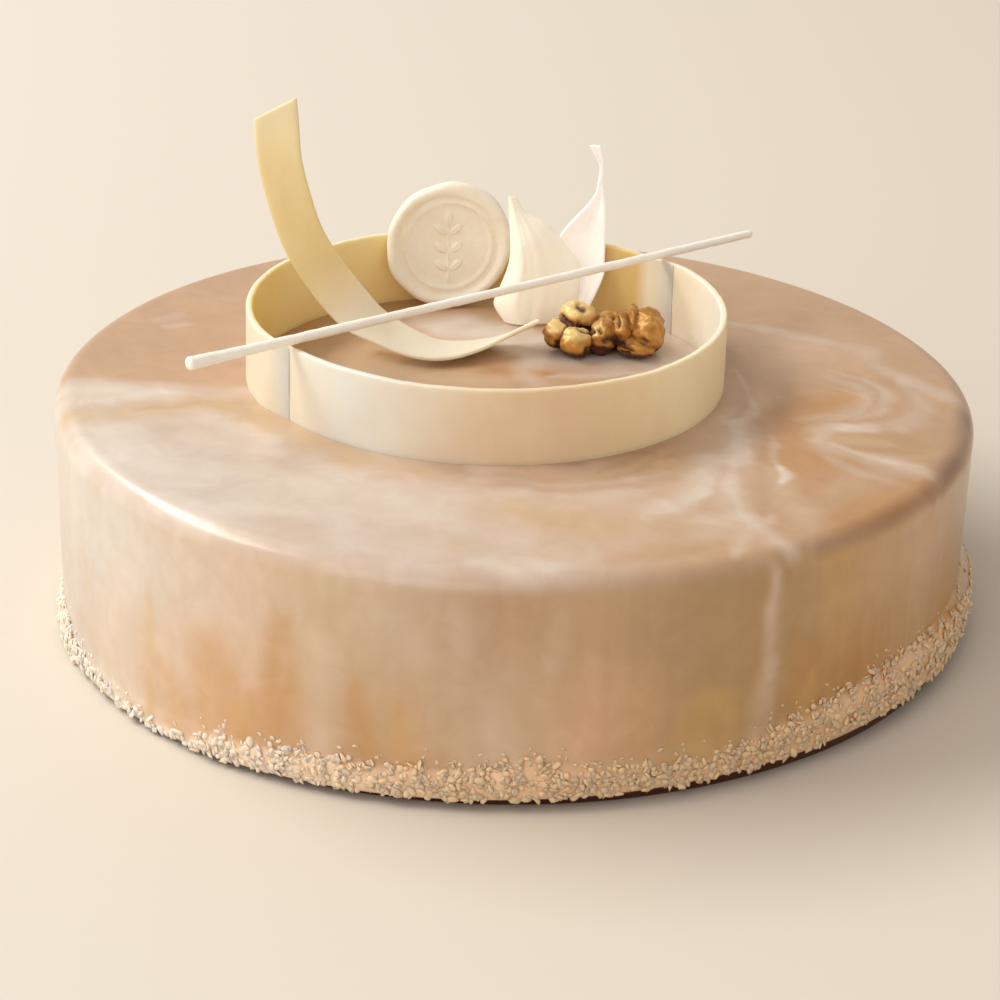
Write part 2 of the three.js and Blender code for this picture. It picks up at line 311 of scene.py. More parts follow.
def makeCamera(look):
    data = bpy.data.cameras.new("camera")
    data.lens = look["lens"]
    data.sensor_width = look["sensor"]
    data.clip_start, data.clip_end = look["clip"]
    camera = addObject("camera", data)
    place = Vector(look["place"])
    ahead = -place.normalized()
    right = ahead.cross(Vector((0, 0, 1))).normalized()
    up = right.cross(ahead)
    ahead = ahead + math.tan(math.radians(look["yaw"])) * right
    ahead = (ahead + math.tan(math.radians(look["pitch"])) * up).normalized()
    right = ahead.cross(Vector((0, 0, 1))).normalized()
    up = right.cross(ahead)
    roll = math.radians(look["roll"])
    right, up = (math.cos(roll) * right + math.sin(roll) * up,
                 math.cos(roll) * up - math.sin(roll) * right)
    turn = Matrix((right, up, -ahead)).transposed().to_4x4()
    camera.matrix_world = Matrix.Translation(place) @ turn
    bpy.context.scene.camera = camera


makeCamera(cameraView)
print("camera placed")


# The glaze's marbling is painted by strokes in these colours
glazeColours = {
    "tan": (195, 160, 130),
    "cream": (220, 210, 200),
    "milk": (225, 215, 205),
    "sand": (210, 195, 185),
    "lilac": (205, 180, 160),
    "rose": (205, 180, 155),
    "blush": (220, 205, 190),
    "caramel": (210, 185, 155),
    "amber": (200, 170, 130),
    "fawn": (180, 145, 110),
    "russet": (185, 135, 80),
    "brown": (135, 100, 85),
    "taupe": (215, 175, 140),
    "umber": (155, 100, 60),
    "ash": (190, 155, 120),
    "shell": (220, 195, 175),
    "biscuit": (205, 165, 120),
    "oat": (200, 165, 130),
    "toffee": (185, 150, 105),
    "honey": (205, 165, 100),
    "syrup": (205, 160, 100),
    "toast": (195, 145, 85),
}

# Top of the cake: colour, strength, half width, then the stroke's points, and its
# softness where it isn't the usual one. Millimetres, with the front at -y.
topStrokes = [
    ("fawn", 0.6, 26, [(62, 74), (92, 44), (106, 0), (100, -48), (76, -84)]),
    ("sand", 0.95, 36, [(-116, -48), (-84, -76), (-42, -92), (4, -100)]),
    ("cream", 0.85, 20, [(-116, -46), (-98, -62), (-74, -84)]),
    ("sand", 0.85, 24, [(-74, -40), (-54, -60), (-20, -76), (22, -72)]),
    ("cream", 0.4, 10, [(-70, -62), (-44, -72), (-18, -84)]),
    ("caramel", 0.5, 14, [(-4, -84), (22, -88), (48, -88)], 1.0),
    ("rose", 0.6, 9, [(-16, -104), (10, -104), (30, -98)]),
    ("milk", 0.9, 9, [(-132, -14), (-112, -14), (-93, -11)]),
    ("milk", 0.5, 5, [(-104, -9), (-88, -9), (-70, -11)]),
    ("lilac", 0.5, 3, [(-96, -5), (-80, -6.5), (-60, -9)]),
    ("milk", 0.45, 8, [(-112, -26), (-104, -40), (-92, -60)]),
    ("milk", 0.5, 8, [(-112, -10), (-106, -30), (-97, -48), (-88, -62)]),
    ("caramel", 0.85, 5, [(-122, -33), (-106, -27), (-88, -20.5), (-70, -18.5), (-54, -19)]),
    ("fawn", 0.35, 1.6, [(-96, -22), (-80, -17.5), (-62, -17)]),
    ("amber", 0.65, 6, [(-76, -21), (-67, -27), (-58, -35)]),
    ("milk", 0.5, 4, [(-102, -38), (-91, -29.5), (-80, -27), (-70, -33), (-60, -40)]),
    ("blush", 0.6, 5, [(-82, -39), (-68, -44), (-58, -48)]),
    ("milk", 0.45, 7, [(-104, -50), (-90, -56), (-78, -66)]),
    ("blush", 0.35, 3, [(-84, -56), (-72, -60)]),
    ("milk", 0.4, 4, [(-86, -78), (-68, -84), (-50, -86)]),
    ("blush", 0.3, 4, [(-76, -92), (-56, -100), (-36, -106)]),
    ("amber", 0.6, 5, [(-52, -38), (-46, -45), (-40, -52)]),
    ("amber", 0.7, 5, [(-42, -50), (-33, -56), (-22, -59)]),
    ("fawn", 0.4, 3, [(-20, -53), (-12, -58)]),
    ("cream", 0.5, 1.8, [(-12, -52.5), (-7, -56), (1, -58.5)]),
    # Round the ring's front foot: glaze ripples in cream and tan, with a grey-brown band and dark
    # lines that are partly painted shade where the ring meets the glaze
    ("taupe", 0.5, 4, [(-8, -54), (10, -59), (26, -56), (38, -47)]),
    ("cream", 0.35, 1.4, [(-10, -61), (8, -64.5), (24, -62), (37, -54)]),
    ("tan", 0.5, 2, [(-6, -65.5), (12, -67.5), (28, -65), (41, -57)]),
    ("cream", 0.3, 2, [(0, -70), (18, -70.5), (34, -66)]),
    ("tan", 0.35, 9, [(-2, -64), (16, -68), (34, -68)]),
    ("umber", 0.45, 1.2, [(5, -53.5), (18, -50), (27, -46), (36, -40), (46, -31), (51, -21)]),
    ("umber", 0.3, 1, [(19, -55.5), (27, -49.5), (34, -43)]),
    ("umber", 0.25, 1, [(24, -58.5), (32, -50.5), (40, -43)]),
    ("lilac", 0.7, 9, [(55, -20), (53, -44), (47, -66), (44, -84)]),
    ("milk", 0.5, 4, [(56, -16), (57.5, -34), (54, -48)]),
    ("milk", 0.5, 4.5, [(48, -44), (46, -58), (44, -70)]),
    ("milk", 0.45, 4.5, [(45, -66), (39, -75), (32, -84)]),
    ("milk", 0.4, 3, [(51, -58), (53, -72), (56, -86)]),
    ("tan", 0.4, 1.4, [(51, -50), (49, -66), (48, -78), (50, -88)]),
    ("tan", 0.35, 1.2, [(60, -36), (59, -52), (55, -64)]),
    ("milk", 0.5, 3.4, [(54, -80), (59, -89), (64, -99)]),
    ("milk", 0.4, 2.4, [(62, -82), (54, -92), (52, -102)]),
    ("lilac", 0.4, 3, [(6, -71), (18, -76), (36, -78)]),
    ("amber", 0.5, 7, [(0, -79), (12, -85), (22, -90)]),
    ("amber", 0.45, 5, [(28, -83), (40, -88)]),
    ("russet", 0.35, 5, [(24, -107), (42, -103)]),
    ("milk", 0.4, 5, [(44, -92), (50, -84)]),
    ("lilac", 0.4, 5, [(-10, -78), (-4, -90)]),
    ("lilac", 0.6, 2, [(20, -99), (27, -96.5), (34, -94)]),
    ("lilac", 0.5, 2, [(14, -107), (18, -96)]),
    ("cream", 0.5, 5, [(-10, -112), (10, -112.5)]),
    ("fawn", 0.5, 3, [(63, -22), (63, -50), (61, -80)]),
    ("russet", 0.7, 7, [(68, -10), (72, -32), (72, -62)]),
    ("russet", 0.5, 6, [(64, -18), (73, -8), (85, -3)]),
    ("russet", 0.5, 13, [(80, 0), (87, -14), (87, -30), (79, -46)]),
    ("russet", 0.35, 11, [(70, -52), (77, -36), (81, -18), (78, -8)]),
    ("russet", 0.25, 9, [(8, -88), (34, -96), (60, -91)]),
    ("caramel", 0.5, 4, [(64, -52), (66, -66), (72, -84)]),
    ("sand", 0.35, 1.2, [(65.5, -30), (66.5, -48)]),
    # A painted highlight: a small bright glint on the glaze
    ("milk", 0.75, 1.4, [(67.2, -49), (68, -56), (66.5, -61)]),
    ("ash", 0.6, 16, [(62, 46), (84, 28), (98, 6)]),
    # Along the ring's shadow to its right: the ash strip lifts the rendered shadow as painted
    # light, and the umber line and taupe edge below it are painted shade
    ("ash", 0.6, 6, [(57, 40), (59, 16), (59, -6), (55, -26)]),
    ("lilac", 0.35, 14, [(70, 40), (84, 32)]),
    ("umber", 0.3, 2, [(57, 42), (61, 25), (63, 8), (62.5, 0), (60, -12), (57, -20)]),
    ("taupe", 0.5, 4, [(60, 44), (65, 25), (67, 8), (64, -8)]),
    ("sand", 0.4, 3.4, [(57, 53), (70, 48.5), (80, 43), (90, 36.5), (97, 28.5), (102, 18),
                             (108, 10), (115, 1)]),
    ("taupe", 0.3, 3, [(62, 44), (78, 35), (88, 26), (94, 16)]),
    ("sand", 0.35, 3, [(82, 14), (91, 6), (92, -3), (85, -13), (74, -19)]),
    ("fawn", 0.4, 2, [(88, 14), (95, 4), (94, -6), (86, -15)]),
    ("sand", 0.35, 2, [(93, 13), (98.5, 2), (96, -8), (87, -17)]),
    ("fawn", 0.4, 2.4, [(99, 10), (103, -2), (99, -13), (88, -19)]),
    ("sand", 0.5, 3.4, [(104, 12), (107, -3), (105, -13), (97, -20), (86, -23)]),
    ("cream", 0.5, 3.4, [(92, -22.5), (82, -23.5), (77, -29), (79, -36), (86, -40),
                              (95, -44.5), (104, -52)]),
    ("caramel", 0.5, 3.6, [(82, -29.5), (93, -31.5)]),
    ("fawn", 0.5, 3, [(87, -35), (97, -36.5), (108, -33)]),
    ("lilac", 0.5, 6, [(90, -43), (99, -53)]),
    ("sand", 0.35, 2, [(79, -43), (86, -52), (98, -62)]),
    ("russet", 0.75, 8, [(102, -58), (92, -70), (80, -82)]),
    ("brown", 0.75, 4.5, [(121, -8), (116, -32), (108, -52)], 1.0),
    ("brown", 0.4, 4, [(110, -50), (100, -66), (90, -80), (76, -94)], 1.0),
    ("umber", 0.3, 3, [(119.5, -18), (113, -40), (103, -61), (92, -77)]),
    # Partly painted shadow: the dark streak in front of the ribbon, where its shadow falls
    ("umber", 0.4, 3.5, [(-22, 16), (-14, 12), (-4, 10), (7, 10)]),
    ("blush", 0.4, 1.5, [(59, 16), (62, -1), (60, -20), (54, -39), (52, -61), (55, -76)], 0.7),
    ("milk", 0.15, 1.3, [(45, -51), (47, -66), (40, -79)], 0.7),
    ("blush", 0.22, 1.1, [(83, 19), (96, 7), (96, -10), (87, -22), (75, -31)], 0.7),
    ("blush", 0.2, 1.0, [(85, 3), (91, -3), (87, -13), (79, -20)], 0.7),
    ("blush", 0.4, 1.1, [(80, -32), (91, -43), (103, -47)], 0.7),
    ("russet", 0.3, 1.6, [(68, 2), (71, -14), (66, -30), (62, -44)], 0.8),
    # Painted highlights: small pale glints on the glaze at the back left
    ("sand", 0.6, 2, [(-99, 40), (-92, 46)]),
    ("sand", 0.5, 1.6, [(-96, 36), (-88, 40)]),
    ("caramel", 0.6, 14, [(-50, 8), (-34, 16), (-14, 10)]),
    # Painted shadow: the dark band inside the ring along its left and back wall
    ("russet", 0.9, 8, [(-66, 24), (-58, 42), (-42, 58), (-22, 66)]),
    # Inside the ring: pale strokes, partly painted light that lifts the glaze out of the ring's
    # shade
    ("milk", 0.9, 10, [(-24, 46), (-10, 40), (4, 34)]),
    ("milk", 0.8, 9, [(4, 26), (20, 22), (40, 26), (50, 40)]),
    # Partly painted shadow: a second dark streak where the ribbon's shadow falls
    ("russet", 0.8, 3.4, [(-34, 21), (-20, 15), (-6, 11), (8, 9)]),
    ("cream", 0.5, 3, [(4, 24), (4, 10), (5, 0)]),
    # Painted light: a pale stroke that lifts the glaze by the ring's inner right wall out of its
    # shade
    ("milk", 0.7, 6, [(38, 8), (46, 18), (52, 34)]),
    # Partly painted shadow: the grey band in front of the walnut, where its shadow falls
    ("taupe", 0.5, 2.6, [(10, 12), (20, 8), (28, 9)]),
    ("cream", 0.5, 2, [(10, 7), (22, 11), (34, 12)]),
]

# Side of the cake, at angles in degrees from +X: the colour of its upper and
# lower half
sideZones = [
    (0, "tan", "tan"), (60, "tan", "tan"), (120, "shell", "rose"), (165, "sand", "sand"),
    (203, "cream", "sand"), (212, "cream", "blush"), (224, "blush", "shell"),
    (236, "shell", "taupe"), (248, "caramel", "oat"), (258, "rose", "oat"),
    (268, "tan", "rose"), (278, "oat", "taupe"), (292, "fawn", "toffee"),
    (304, "toffee", "toffee"), (315, "biscuit", "toast"), (327, "taupe", "biscuit"),
    (338, "ash", "toast"), (348, "amber", "toffee"), (360, "tan", "tan"),
]

# The same kind of strokes down the side, as degrees and height
sideStrokes = [
    ("russet", 0.2, 5, [(203, 14), (226, 12), (262, 12)], 1.0),
    ("caramel", 0.3, 5, [(206.5, 34), (207, 12)]),
    ("caramel", 0.35, 3.4, [(210, 58), (226, 57), (244, 56)]),
    ("shell", 0.4, 8, [(214, 32), (215, 16), (215, 6)]),
    ("honey", 0.4, 3.2, [(222, 34), (222, 20), (222, 4)]),
    ("syrup", 0.45, 6, [(225, 18), (226, 4)]),
    ("syrup", 0.5, 6, [(232, 33), (232.5, 20), (233, 10)]),
    ("shell", 0.55, 2.4, [(227, 38), (227.5, 26), (228, 14)]),
    ("shell", 0.7, 3.4, [(236, 44), (237, 34), (238.5, 24)]),
    ("toast", 0.55, 4.4, [(243, 42), (242.5, 28), (241, 11)], 0.8),
    ("honey", 0.45, 4, [(237.5, 18), (237, 9)]),
    ("shell", 0.6, 4, [(248, 40), (248, 24), (247.5, 6)], 0.8),
    ("toast", 0.5, 3, [(252.2, 28), (252.8, 20), (253.3, 11)], 0.85),
    ("syrup", 0.4, 3.4, [(257, 24), (258, 11)]),
    ("shell", 0.3, 3.4, [(264, 50), (265, 41)]),
    ("shell", 0.35, 2.6, [(275.5, 48), (274.5, 36)]),
    ("toffee", 0.35, 5, [(266, 60), (284, 58)]),
    ("oat", 0.4, 4, [(270, 30), (272, 16)]),
    ("biscuit", 0.5, 4.4, [(284, 29), (284, 18), (284, 8)], 0.6),
    ("toffee", 0.4, 2, [(287.4, 40), (287.8, 26), (287.8, 10)]),
    ("honey", 0.55, 9, [(293.5, 22), (293, 10)], 0.45),
    ("toffee", 0.4, 5, [(290, 56), (295, 44), (296, 36)]),
    ("ash", 0.4, 4, [(289, 60), (289, 48)]),
    ("shell", 0.65, 2, [(301.2, 66), (301.2, 44), (300.9, 28)]),
    ("shell", 0.55, 3.2, [(300.8, 31), (300.3, 20), (299.5, 9)]),
    ("toast", 0.6, 6, [(305, 33), (306, 24), (308, 14)]),
    ("honey", 0.6, 3, [(306.8, 24), (306.8, 14)], 0.8),
    ("syrup", 0.4, 6, [(311, 58), (312, 36)]),
    ("biscuit", 0.45, 1.6, [(321.8, 56), (321.8, 22)]),
    ("biscuit", 0.3, 1.4, [(316, 40), (316.5, 20)]),
    ("biscuit", 0.5, 3.2, [(328.5, 56), (329, 40), (330, 22)]),
    ("biscuit", 0.3, 1.6, [(325, 50), (325.3, 24)]),
    ("toast", 0.5, 6, [(337, 38), (338.5, 16)]),
    ("umber", 0.4, 2.4, [(328, 59.5), (340, 59), (352, 59.5)]),
]

# What the side's strokes raise, in millimetres: the same marks, standing proud
sideDrips = [
    (0.25, 2.4, [(301.2, 60), (301.2, 40), (300.8, 24)]),
    (0.30, 3.4, [(300.6, 27), (300, 14)]),
    (0.20, 5.0, [(284, 29), (284, 12)]),
    (0.25, 8.5, [(293.5, 22), (293, 12)]),
    (0.15, 3.0, [(306.8, 24), (306.8, 14)]),
    (0.12, 3.0, [(236.5, 34), (238.5, 18)]),
    (0.12, 3.4, [(247.5, 32), (247.7, 10)]),
    (0.12, 2.6, [(227.2, 34), (227.8, 12)]),
    (0.10, 2.6, [(264, 47), (265, 41)]),
    (0.10, 2.0, [(275.3, 46), (274, 37)]),
]

glazePaint = {
    "degree": math.pi * 120 / 180,    # millimetres along the side in one degree
    "soft": 0.9,                      # a stroke's usual softness
    "warp": 2.0,                      # how far the strokes' edges wander
    "comb": 0.6,                      # how much streaks along a stroke thin it
    # The foot's dark brown is painted shade: the shadow in the recess under the glaze's lower edge
    "foot": (80, 36, 12),
    "footRows": 10,                   # of the profile, up to the glaze's lower edge
}


def strokeMask(u, v, points, halfWidth, soft, comb=0.0, seed=1):
    # 1 inside half a width from a smooth curve, falling to 0 outside it, and
    # narrower towards the curve's ends. Streaks of noise run along it.
    path = smoothCurve(points, np.linspace(0, 1, 6 * len(points)))
    reach = halfWidth * (1 + soft)
    low, high = path.min(0) - reach, path.max(0) + reach
    mask = np.zeros(u.shape)
    near = (u > low[0]) & (u < high[0]) & (v > low[1]) & (v < high[1])
    if not near.any():
        return mask
    spot = np.stack([u[near], v[near]], -1)[:, None]
    start, step = path[:-1], path[1:] - path[:-1]
    length = np.maximum((step ** 2).sum(-1), 1e-9)
    share = np.clip(((spot - start) * step).sum(-1) / length, 0, 1)
    away = spot - start - share[..., None] * step
    distance = np.hypot(away[..., 0], away[..., 1])
    closest = distance.argmin(1)
    rows = np.arange(len(closest))
    along = (closest + share[rows, closest]) / (len(path) - 1)
    side = np.sign(step[closest, 0] * away[rows, closest, 1]
                   - step[closest, 1] * away[rows, closest, 0])
    width = halfWidth * (0.55 + 0.45 * np.sin(math.pi * np.clip(along, 0.02, 0.98)) ** 0.5)
    offset = distance[rows, closest] / width
    found = 1 - smoothStep(offset, 1 - soft, 1 + soft)
    if comb:
        run = along * np.sqrt(length).sum()
        streaks = noise(side * offset * 1.6 + 40, run / 18 + 5, seed)
        patches = noise(u[near] / 7 + 80, v[near] / 7 + 80, seed + 1)
        found = found * np.clip(1 - comb * (0.3 + 0.4 * streaks + 0.5 * patches), 0, 1)
    mask[near] = found
    return mask


def paintOver(colours, u, v, strokes, seed, scaleU=1.0):
    # Each stroke is mixed over what lies under it, in linear light
    for order, (name, strength, halfWidth, points, *soft) in enumerate(strokes):
        path = [(a * scaleU, b) for a, b in points]
        mask = strokeMask(u, v, path, halfWidth, *(soft or [glazePaint["soft"]]),
                          glazePaint["comb"], seed + 2 * order)
        colours = blend(colours, linear(glazeColours[name]), strength * mask)
    return colours


def backDrips(count, seed):
    # Drips down the far side, like those at the front
    random = np.random.default_rng(seed)
    strokes = []
    for angle in np.linspace(4, 176, count):
        name = random.choice(["cream", "caramel", "russet", "sand", "fawn", "milk"])
        start, drop = random.uniform(40, 60), random.uniform(14, 34)
        angle += random.uniform(-3, 3)
        strokes.append((str(name), random.uniform(0.3, 0.65), random.uniform(1.5, 6),
                        [(angle, start), (angle + random.uniform(-1, 1), start - drop / 2),
                         (angle + random.uniform(-1, 1), start - drop)], 0.8))
    return strokes


# Cake

cakeSize = {
    "radius": 0.120,
    "height": topHeight,
    "topSlope": topSlope,
    "shoulder": 0.0054,
    "sideWave": 0.00035,
    "sideInset": 0.0022,     # the +X side falls this far inwards down to the band
    "footRadius": 0.1175,
    "footHeight": 0.0026,
    "footSlope": 0.016,      # the glaze's lower edge rises towards +X
    "bandHeight": 0.0115,
    "bandSlope": 0.037,
    "bandDepth": 0.0011,
    "topWaves": 0.00012,
    "wallRows": (6, 70),     # rows of the profile from the foot up to the shoulder
    "columns": 600,
    "frontCrowd": 0.42,      # how much closer the columns stand at the front
}

# Top edge of the flakes: degrees from +X, and height in millimetres
flakeEdge = [
    (0, 13), (40, 11), (90, 10), (140, 9), (180, 9), (195, 10), (206, 6), (215, 4.5),
    (228, 4.5), (234, 9), (250, 10.5), (266, 12), (271, 15), (276, 12.5), (290, 11), (298, 12),
    (304, 15.5), (315, 18), (328, 19.5), (340, 16), (352, 14), (360, 13),
]

# How much painted shade they carry: creamy at the left, where the light falls, darker and warmer
# towards the front and right, away from it
flakeShading = [
    (0, 0.8), (90, 0.5), (180, 0.15), (200, 0), (212, 0), (222, 0.15), (240, 0.4),
    (262, 0.85), (290, 1), (310, 0.95), (350, 0.8), (360, 0.8),
]

# How strongly fine streaks mark the glaze down the side
sideStreaks = [
    (0, 0.045), (20, 0.03), (180, 0.03), (230, 0.02), (300, 0.025), (325, 0.05), (360, 0.045),
]

flakeColours = {
    "pale": (255, 239, 221),
    "shaded": (236, 197, 156),
}


def byAngle(table, angle):
    # Value at an angle in radians, from a table of degrees and values
    return np.interp(np.degrees(angle) % 360, *zip(*table))


def flakeTop(angle):
    # Height of the band's upper edge, in metres
    return byAngle(flakeEdge, angle) * mm


def evened(x, z):
    # Height as it would be if the top were level, as the side's marks are given
    return z / (1 - topSlope * x / topHeight)


def sideNoise(degrees, count, across, seed):
    # Noise that closes round the cake after count cells
    return noise(degrees * count / 360, across, seed, count)


def cakeProfile(size):
    # Radius and height of each row, from the underside round to the top's middle
    r, h, s = size["radius"], size["height"], size["shoulder"]
    band, foot, deep = size["bandHeight"], size["footHeight"], size["bandDepth"]
    inner = size["footRadius"]
    corners = [
        (0.03, 0), (0.08, 0), (0.112, 0), (inner - 0.001, 0), (inner - 0.0002, 0.0002),
        (inner, 0.0006), (inner, foot - 0.0006), (inner + 0.0003, foot - 0.0002),
        (inner + 0.0013, foot), (r, foot + 0.0002),
        (r + 0.8 * deep, foot + 0.0009), (r + deep, foot + 0.0024), (r + deep, 0.0068),
        (r + deep, band - 0.0026), (r + 0.7 * deep, band - 0.0012),
        (r + 0.2 * deep, band - 0.0003),
    ]
    side = [(r, z) for z in np.linspace(band + 0.0003, h - s, 46)]
    shoulder = [(r - s * (1 - math.cos(t)), h - s * (1 - math.sin(t)))
                for t in np.linspace(0, math.pi / 2, 13)[1:]]
    top = [(x, h) for x in (*np.arange(0.1137, 0.058, -0.00105),
                            *np.linspace(0.0568, 0.0012, 36))]
    return np.array(corners + side + shoulder + top)


def sideRelief(size, height, upright, turns):
    # How far the side stands out: its drips, a slow ripple of noise, and lumps where
    # flakes cover it. Its lower part is drawn in where there are few flakes.
    degrees = np.degrees(turns) % 360
    around, upright = np.broadcast_arrays(degrees * glazePaint["degree"], upright)
    relief = 0.05 * (0.6 * sideNoise(degrees, 240, height / mm / 30, 61)
                     + sideNoise(degrees, 80, height / mm / 45, 62))
    for raised, halfWidth, points in sideDrips:
        path = [(a * glazePaint["degree"], b) for a, b in points]
        relief = relief + raised * strokeMask(around, upright, path, halfWidth, glazePaint["soft"])
    top = flakeTop(turns) / mm
    lumps = 0.4 * sideNoise(degrees, 300, upright / 2.6, 63) \
        + 0.3 * sideNoise(degrees, 480, upright / 1.5, 64)
    relief = relief + lumps * (1 - smoothStep(upright, top - 3, top))
    onWall = (height > size["footHeight"] + 0.001) & (height < size["height"] - 0.0004)
    low = smoothStep(height, 0.001, 0.003) * (1 - smoothStep(height, 0.0095, 0.0115))
    few = 1 - smoothStep(top, 4.5, 9)
    return mm * relief * onWall - 0.8 * size["bandDepth"] * low * few


def cakeSurface(size, profile, turns):
    # Each row of the profile is turned round the axis. The side wanders by a sum
    # of three sines of the angle, leans in at +X, and its height is sheared with x
    # so that the foot stays level while the top falls towards +X. Noise lifts the
    # top a little between its middle and its edge.
    radius, height = profile[:, :1], profile[:, 1:]
    wave = (np.sin(3 * turns + 1) + 0.6 * np.sin(7 * turns) + 0.3 * np.sin(13 * turns)) / 1.9
    onSide = smoothStep(radius, size["footRadius"] - 0.0025, size["radius"] - 0.0005)
    foot, band = size["footHeight"], size["bandHeight"]
    lower = np.clip((size["height"] - size["shoulder"] - height) / (size["height"] - band), 0, 1)
    inset = lower * np.maximum(np.cos(turns), 0) ** 2
    inset = inset * smoothStep(height, band - 0.003, band + 0.002)
    outward = onSide * (size["sideWave"] * wave - size["sideInset"] * inset)
    level = radius * np.cos(turns)
    rise = np.clip((height - foot) / (band - foot), 0, 1) * (1 - smoothStep(height, band, 0.028))
    high = height + rise * size["bandSlope"] * level
    share = (high - foot) / (size["height"] - foot)
    shift = np.where(high < foot, size["footSlope"] * high / foot,
                     size["footSlope"] + (-size["topSlope"] - size["footSlope"]) * share)
    upright = evened(level, high + shift * level) / mm
    outward = outward + sideRelief(size, height, upright, turns)
    across = (radius + outward) * np.cos(turns)
    deep = (radius + outward) * np.sin(turns)
    swell = noise(across / mm / 31 + 20, deep / mm / 31 + 20, 71) \
        + 0.4 * noise(across / mm / 11 + 20, deep / mm / 11 + 20, 72)
    calm = smoothStep(radius, 0.03, 0.08) * (1 - smoothStep(radius, 0.106, 0.1146))
    high = high + size["topWaves"] * swell * calm * (height > 0.05)
    return np.stack([across, deep, high + shift * across], -1)


def glazeOn(turns, points):
    # Top strokes by their place from above, side strokes by angle and height, and
    # the two mixed over the shoulder. Flakes cover the side's foot.
    x, y = points[..., 0] / mm, points[..., 1] / mm
    height = evened(points[..., 0], points[..., 2]) / mm
    degrees = np.broadcast_to(np.degrees(turns) % 360, points.shape[:2])
    warp = glazePaint["warp"]
    wide = [noise(x / 11 + 60, y / 11 + 60, seed) for seed in (11, 13)]
    small = [noise(x / 4 + 90, y / 4 + 90, seed) for seed in (12, 14)]
    u, v = (c + warp * (a + 0.4 * b) for c, a, b in zip((x, y), wide, small))
    top = np.broadcast_to(linear(glazeColours["tan"]), points.shape).copy()
    cloud = noise(x / 26 + 70, y / 26 + 70, 15) + 0.6 * noise(x / 9 + 70, y / 14 + 70, 16)
    top = paintOver(top * (1 + 0.035 * cloud[..., None]), u, v, topStrokes, 100)
    # Thin veils across the pours, lighter and darker in turn
    across = noise((x - y) / 26 + 0.8 * wide[0] + 40, (x + y) / 7 + 1.2 * wide[1] + 90, 19)
    fine = noise(x / 5 + wide[1] + 50, y / 2.6 + 1.4 * wide[0] + 90, 20)
    top *= 1 + (0.025 * across + 0.018 * fine)[..., None]
    angles, upper, lower = zip(*sideZones)
    upper, lower = (zoned(degrees, angles, part, glazeColours) for part in (upper, lower))
    half = smoothStep(height + 4 * sideNoise(degrees, 120, height / 60, 27), 22, 44)
    side = blend(lower, upper, half)
    streak = sideNoise(degrees, 240, height / 38, 21) \
        + 0.8 * sideNoise(degrees, 480, height / 30, 22)
    broad = sideNoise(degrees, 60, height / 36, 23)
    blotch = sideNoise(degrees, 48, height / 9, 28)
    streaky = byAngle(sideStreaks, turns) * (1 + 0.5 * broad)
    side *= 1 + (streaky * streak + 0.02 * broad + 0.025 * blotch)[..., None]
    drift = 0.5 * warp * sideNoise(degrees, 120, height / 9, 24)
    lift = 1.5 * warp * sideNoise(degrees, 240, height / 60, 25)
    strokes = sideStrokes + backDrips(30, 5)
    side = paintOver(side, degrees * glazePaint["degree"] + drift, height + lift, strokes, 300,
                     glazePaint["degree"])
    colours = blend(side, top, smoothStep(height, 55, 60))
    edge = flakeTop(turns) / mm + 1.2 * sideNoise(degrees, 240, height / 50, 26)
    covered = 1 - smoothStep(height, edge - 3, edge - 0.5)
    # Under the band, the flakes' colour with the same painted shade towards the front and right
    under = blend(linear(flakeColours["pale"]), linear(flakeColours["shaded"]),
                  byAngle(flakeShading, turns))
    colours = blend(colours, under, 0.9 * covered)
    # Painted shade: the recessed foot in dark brown, as the shadow under the glaze
    colours[:glazePaint["footRows"]] = linear(glazePaint["foot"])
    return colours


def makeCake(size):
    # Columns crowd towards the front: the turn plus a share of its own sine
    u = np.arange(size["columns"]) / size["columns"]
    turns = (2 * math.pi * u + size["frontCrowd"] * np.sin(2 * math.pi * u)
             + 0.5 * math.pi)[None]
    profile = cakeProfile(size)
    loops = cakeSurface(size, profile, turns)
    makePiece("cake_glaze", *loftFaces(loops), glazeFinish(), "glaze", ["cake"],
              withEnds(glazeOn(turns, loops)))
    return turns[0], loops


def glazeFinish():
    material, start, shader = newMaterial("marbledGlaze", {
        "IOR": 1.45, "Coat Weight": 0.12, "Coat Roughness": 0.12, "Subsurface Weight": 0.12,
        "Subsurface Radius": (1.0, 0.6, 0.35), "Subsurface Scale": 0.002})
    wisps = grain(start, 90, 4, 0.6, warp=1.2).between(0.35, 0.68)
    paintThrough(start, shader, wisps, (248, 246, 243))
    feed(shader, "Roughness", 0.26 + 0.08 * grain(start, 30, 2))
    bumpOn(shader, grain(start, 160, 2), 0.00005)
    return material


cakeTurns, cakeLoops = makeCake(cakeSize)


# Flakes round the foot

flakeSize = {
    "count": 4300,
    "strays": 300,             # single ones higher up the glaze
    "length": (1.5, 3.9),      # millimetres
    "width": (1.2, 2.7),
    "thickness": (0.45, 0.95),
    "corners": 7,
}


def turned(points, axis, angle):
    # Each flake's points turned about one axis by its own angle
    a, b = [(1, 2), (2, 0), (0, 1)][axis]
    made = points.copy()
    made[..., a], made[..., b] = spun(points[..., a], points[..., b], angle[:, None])
    return made


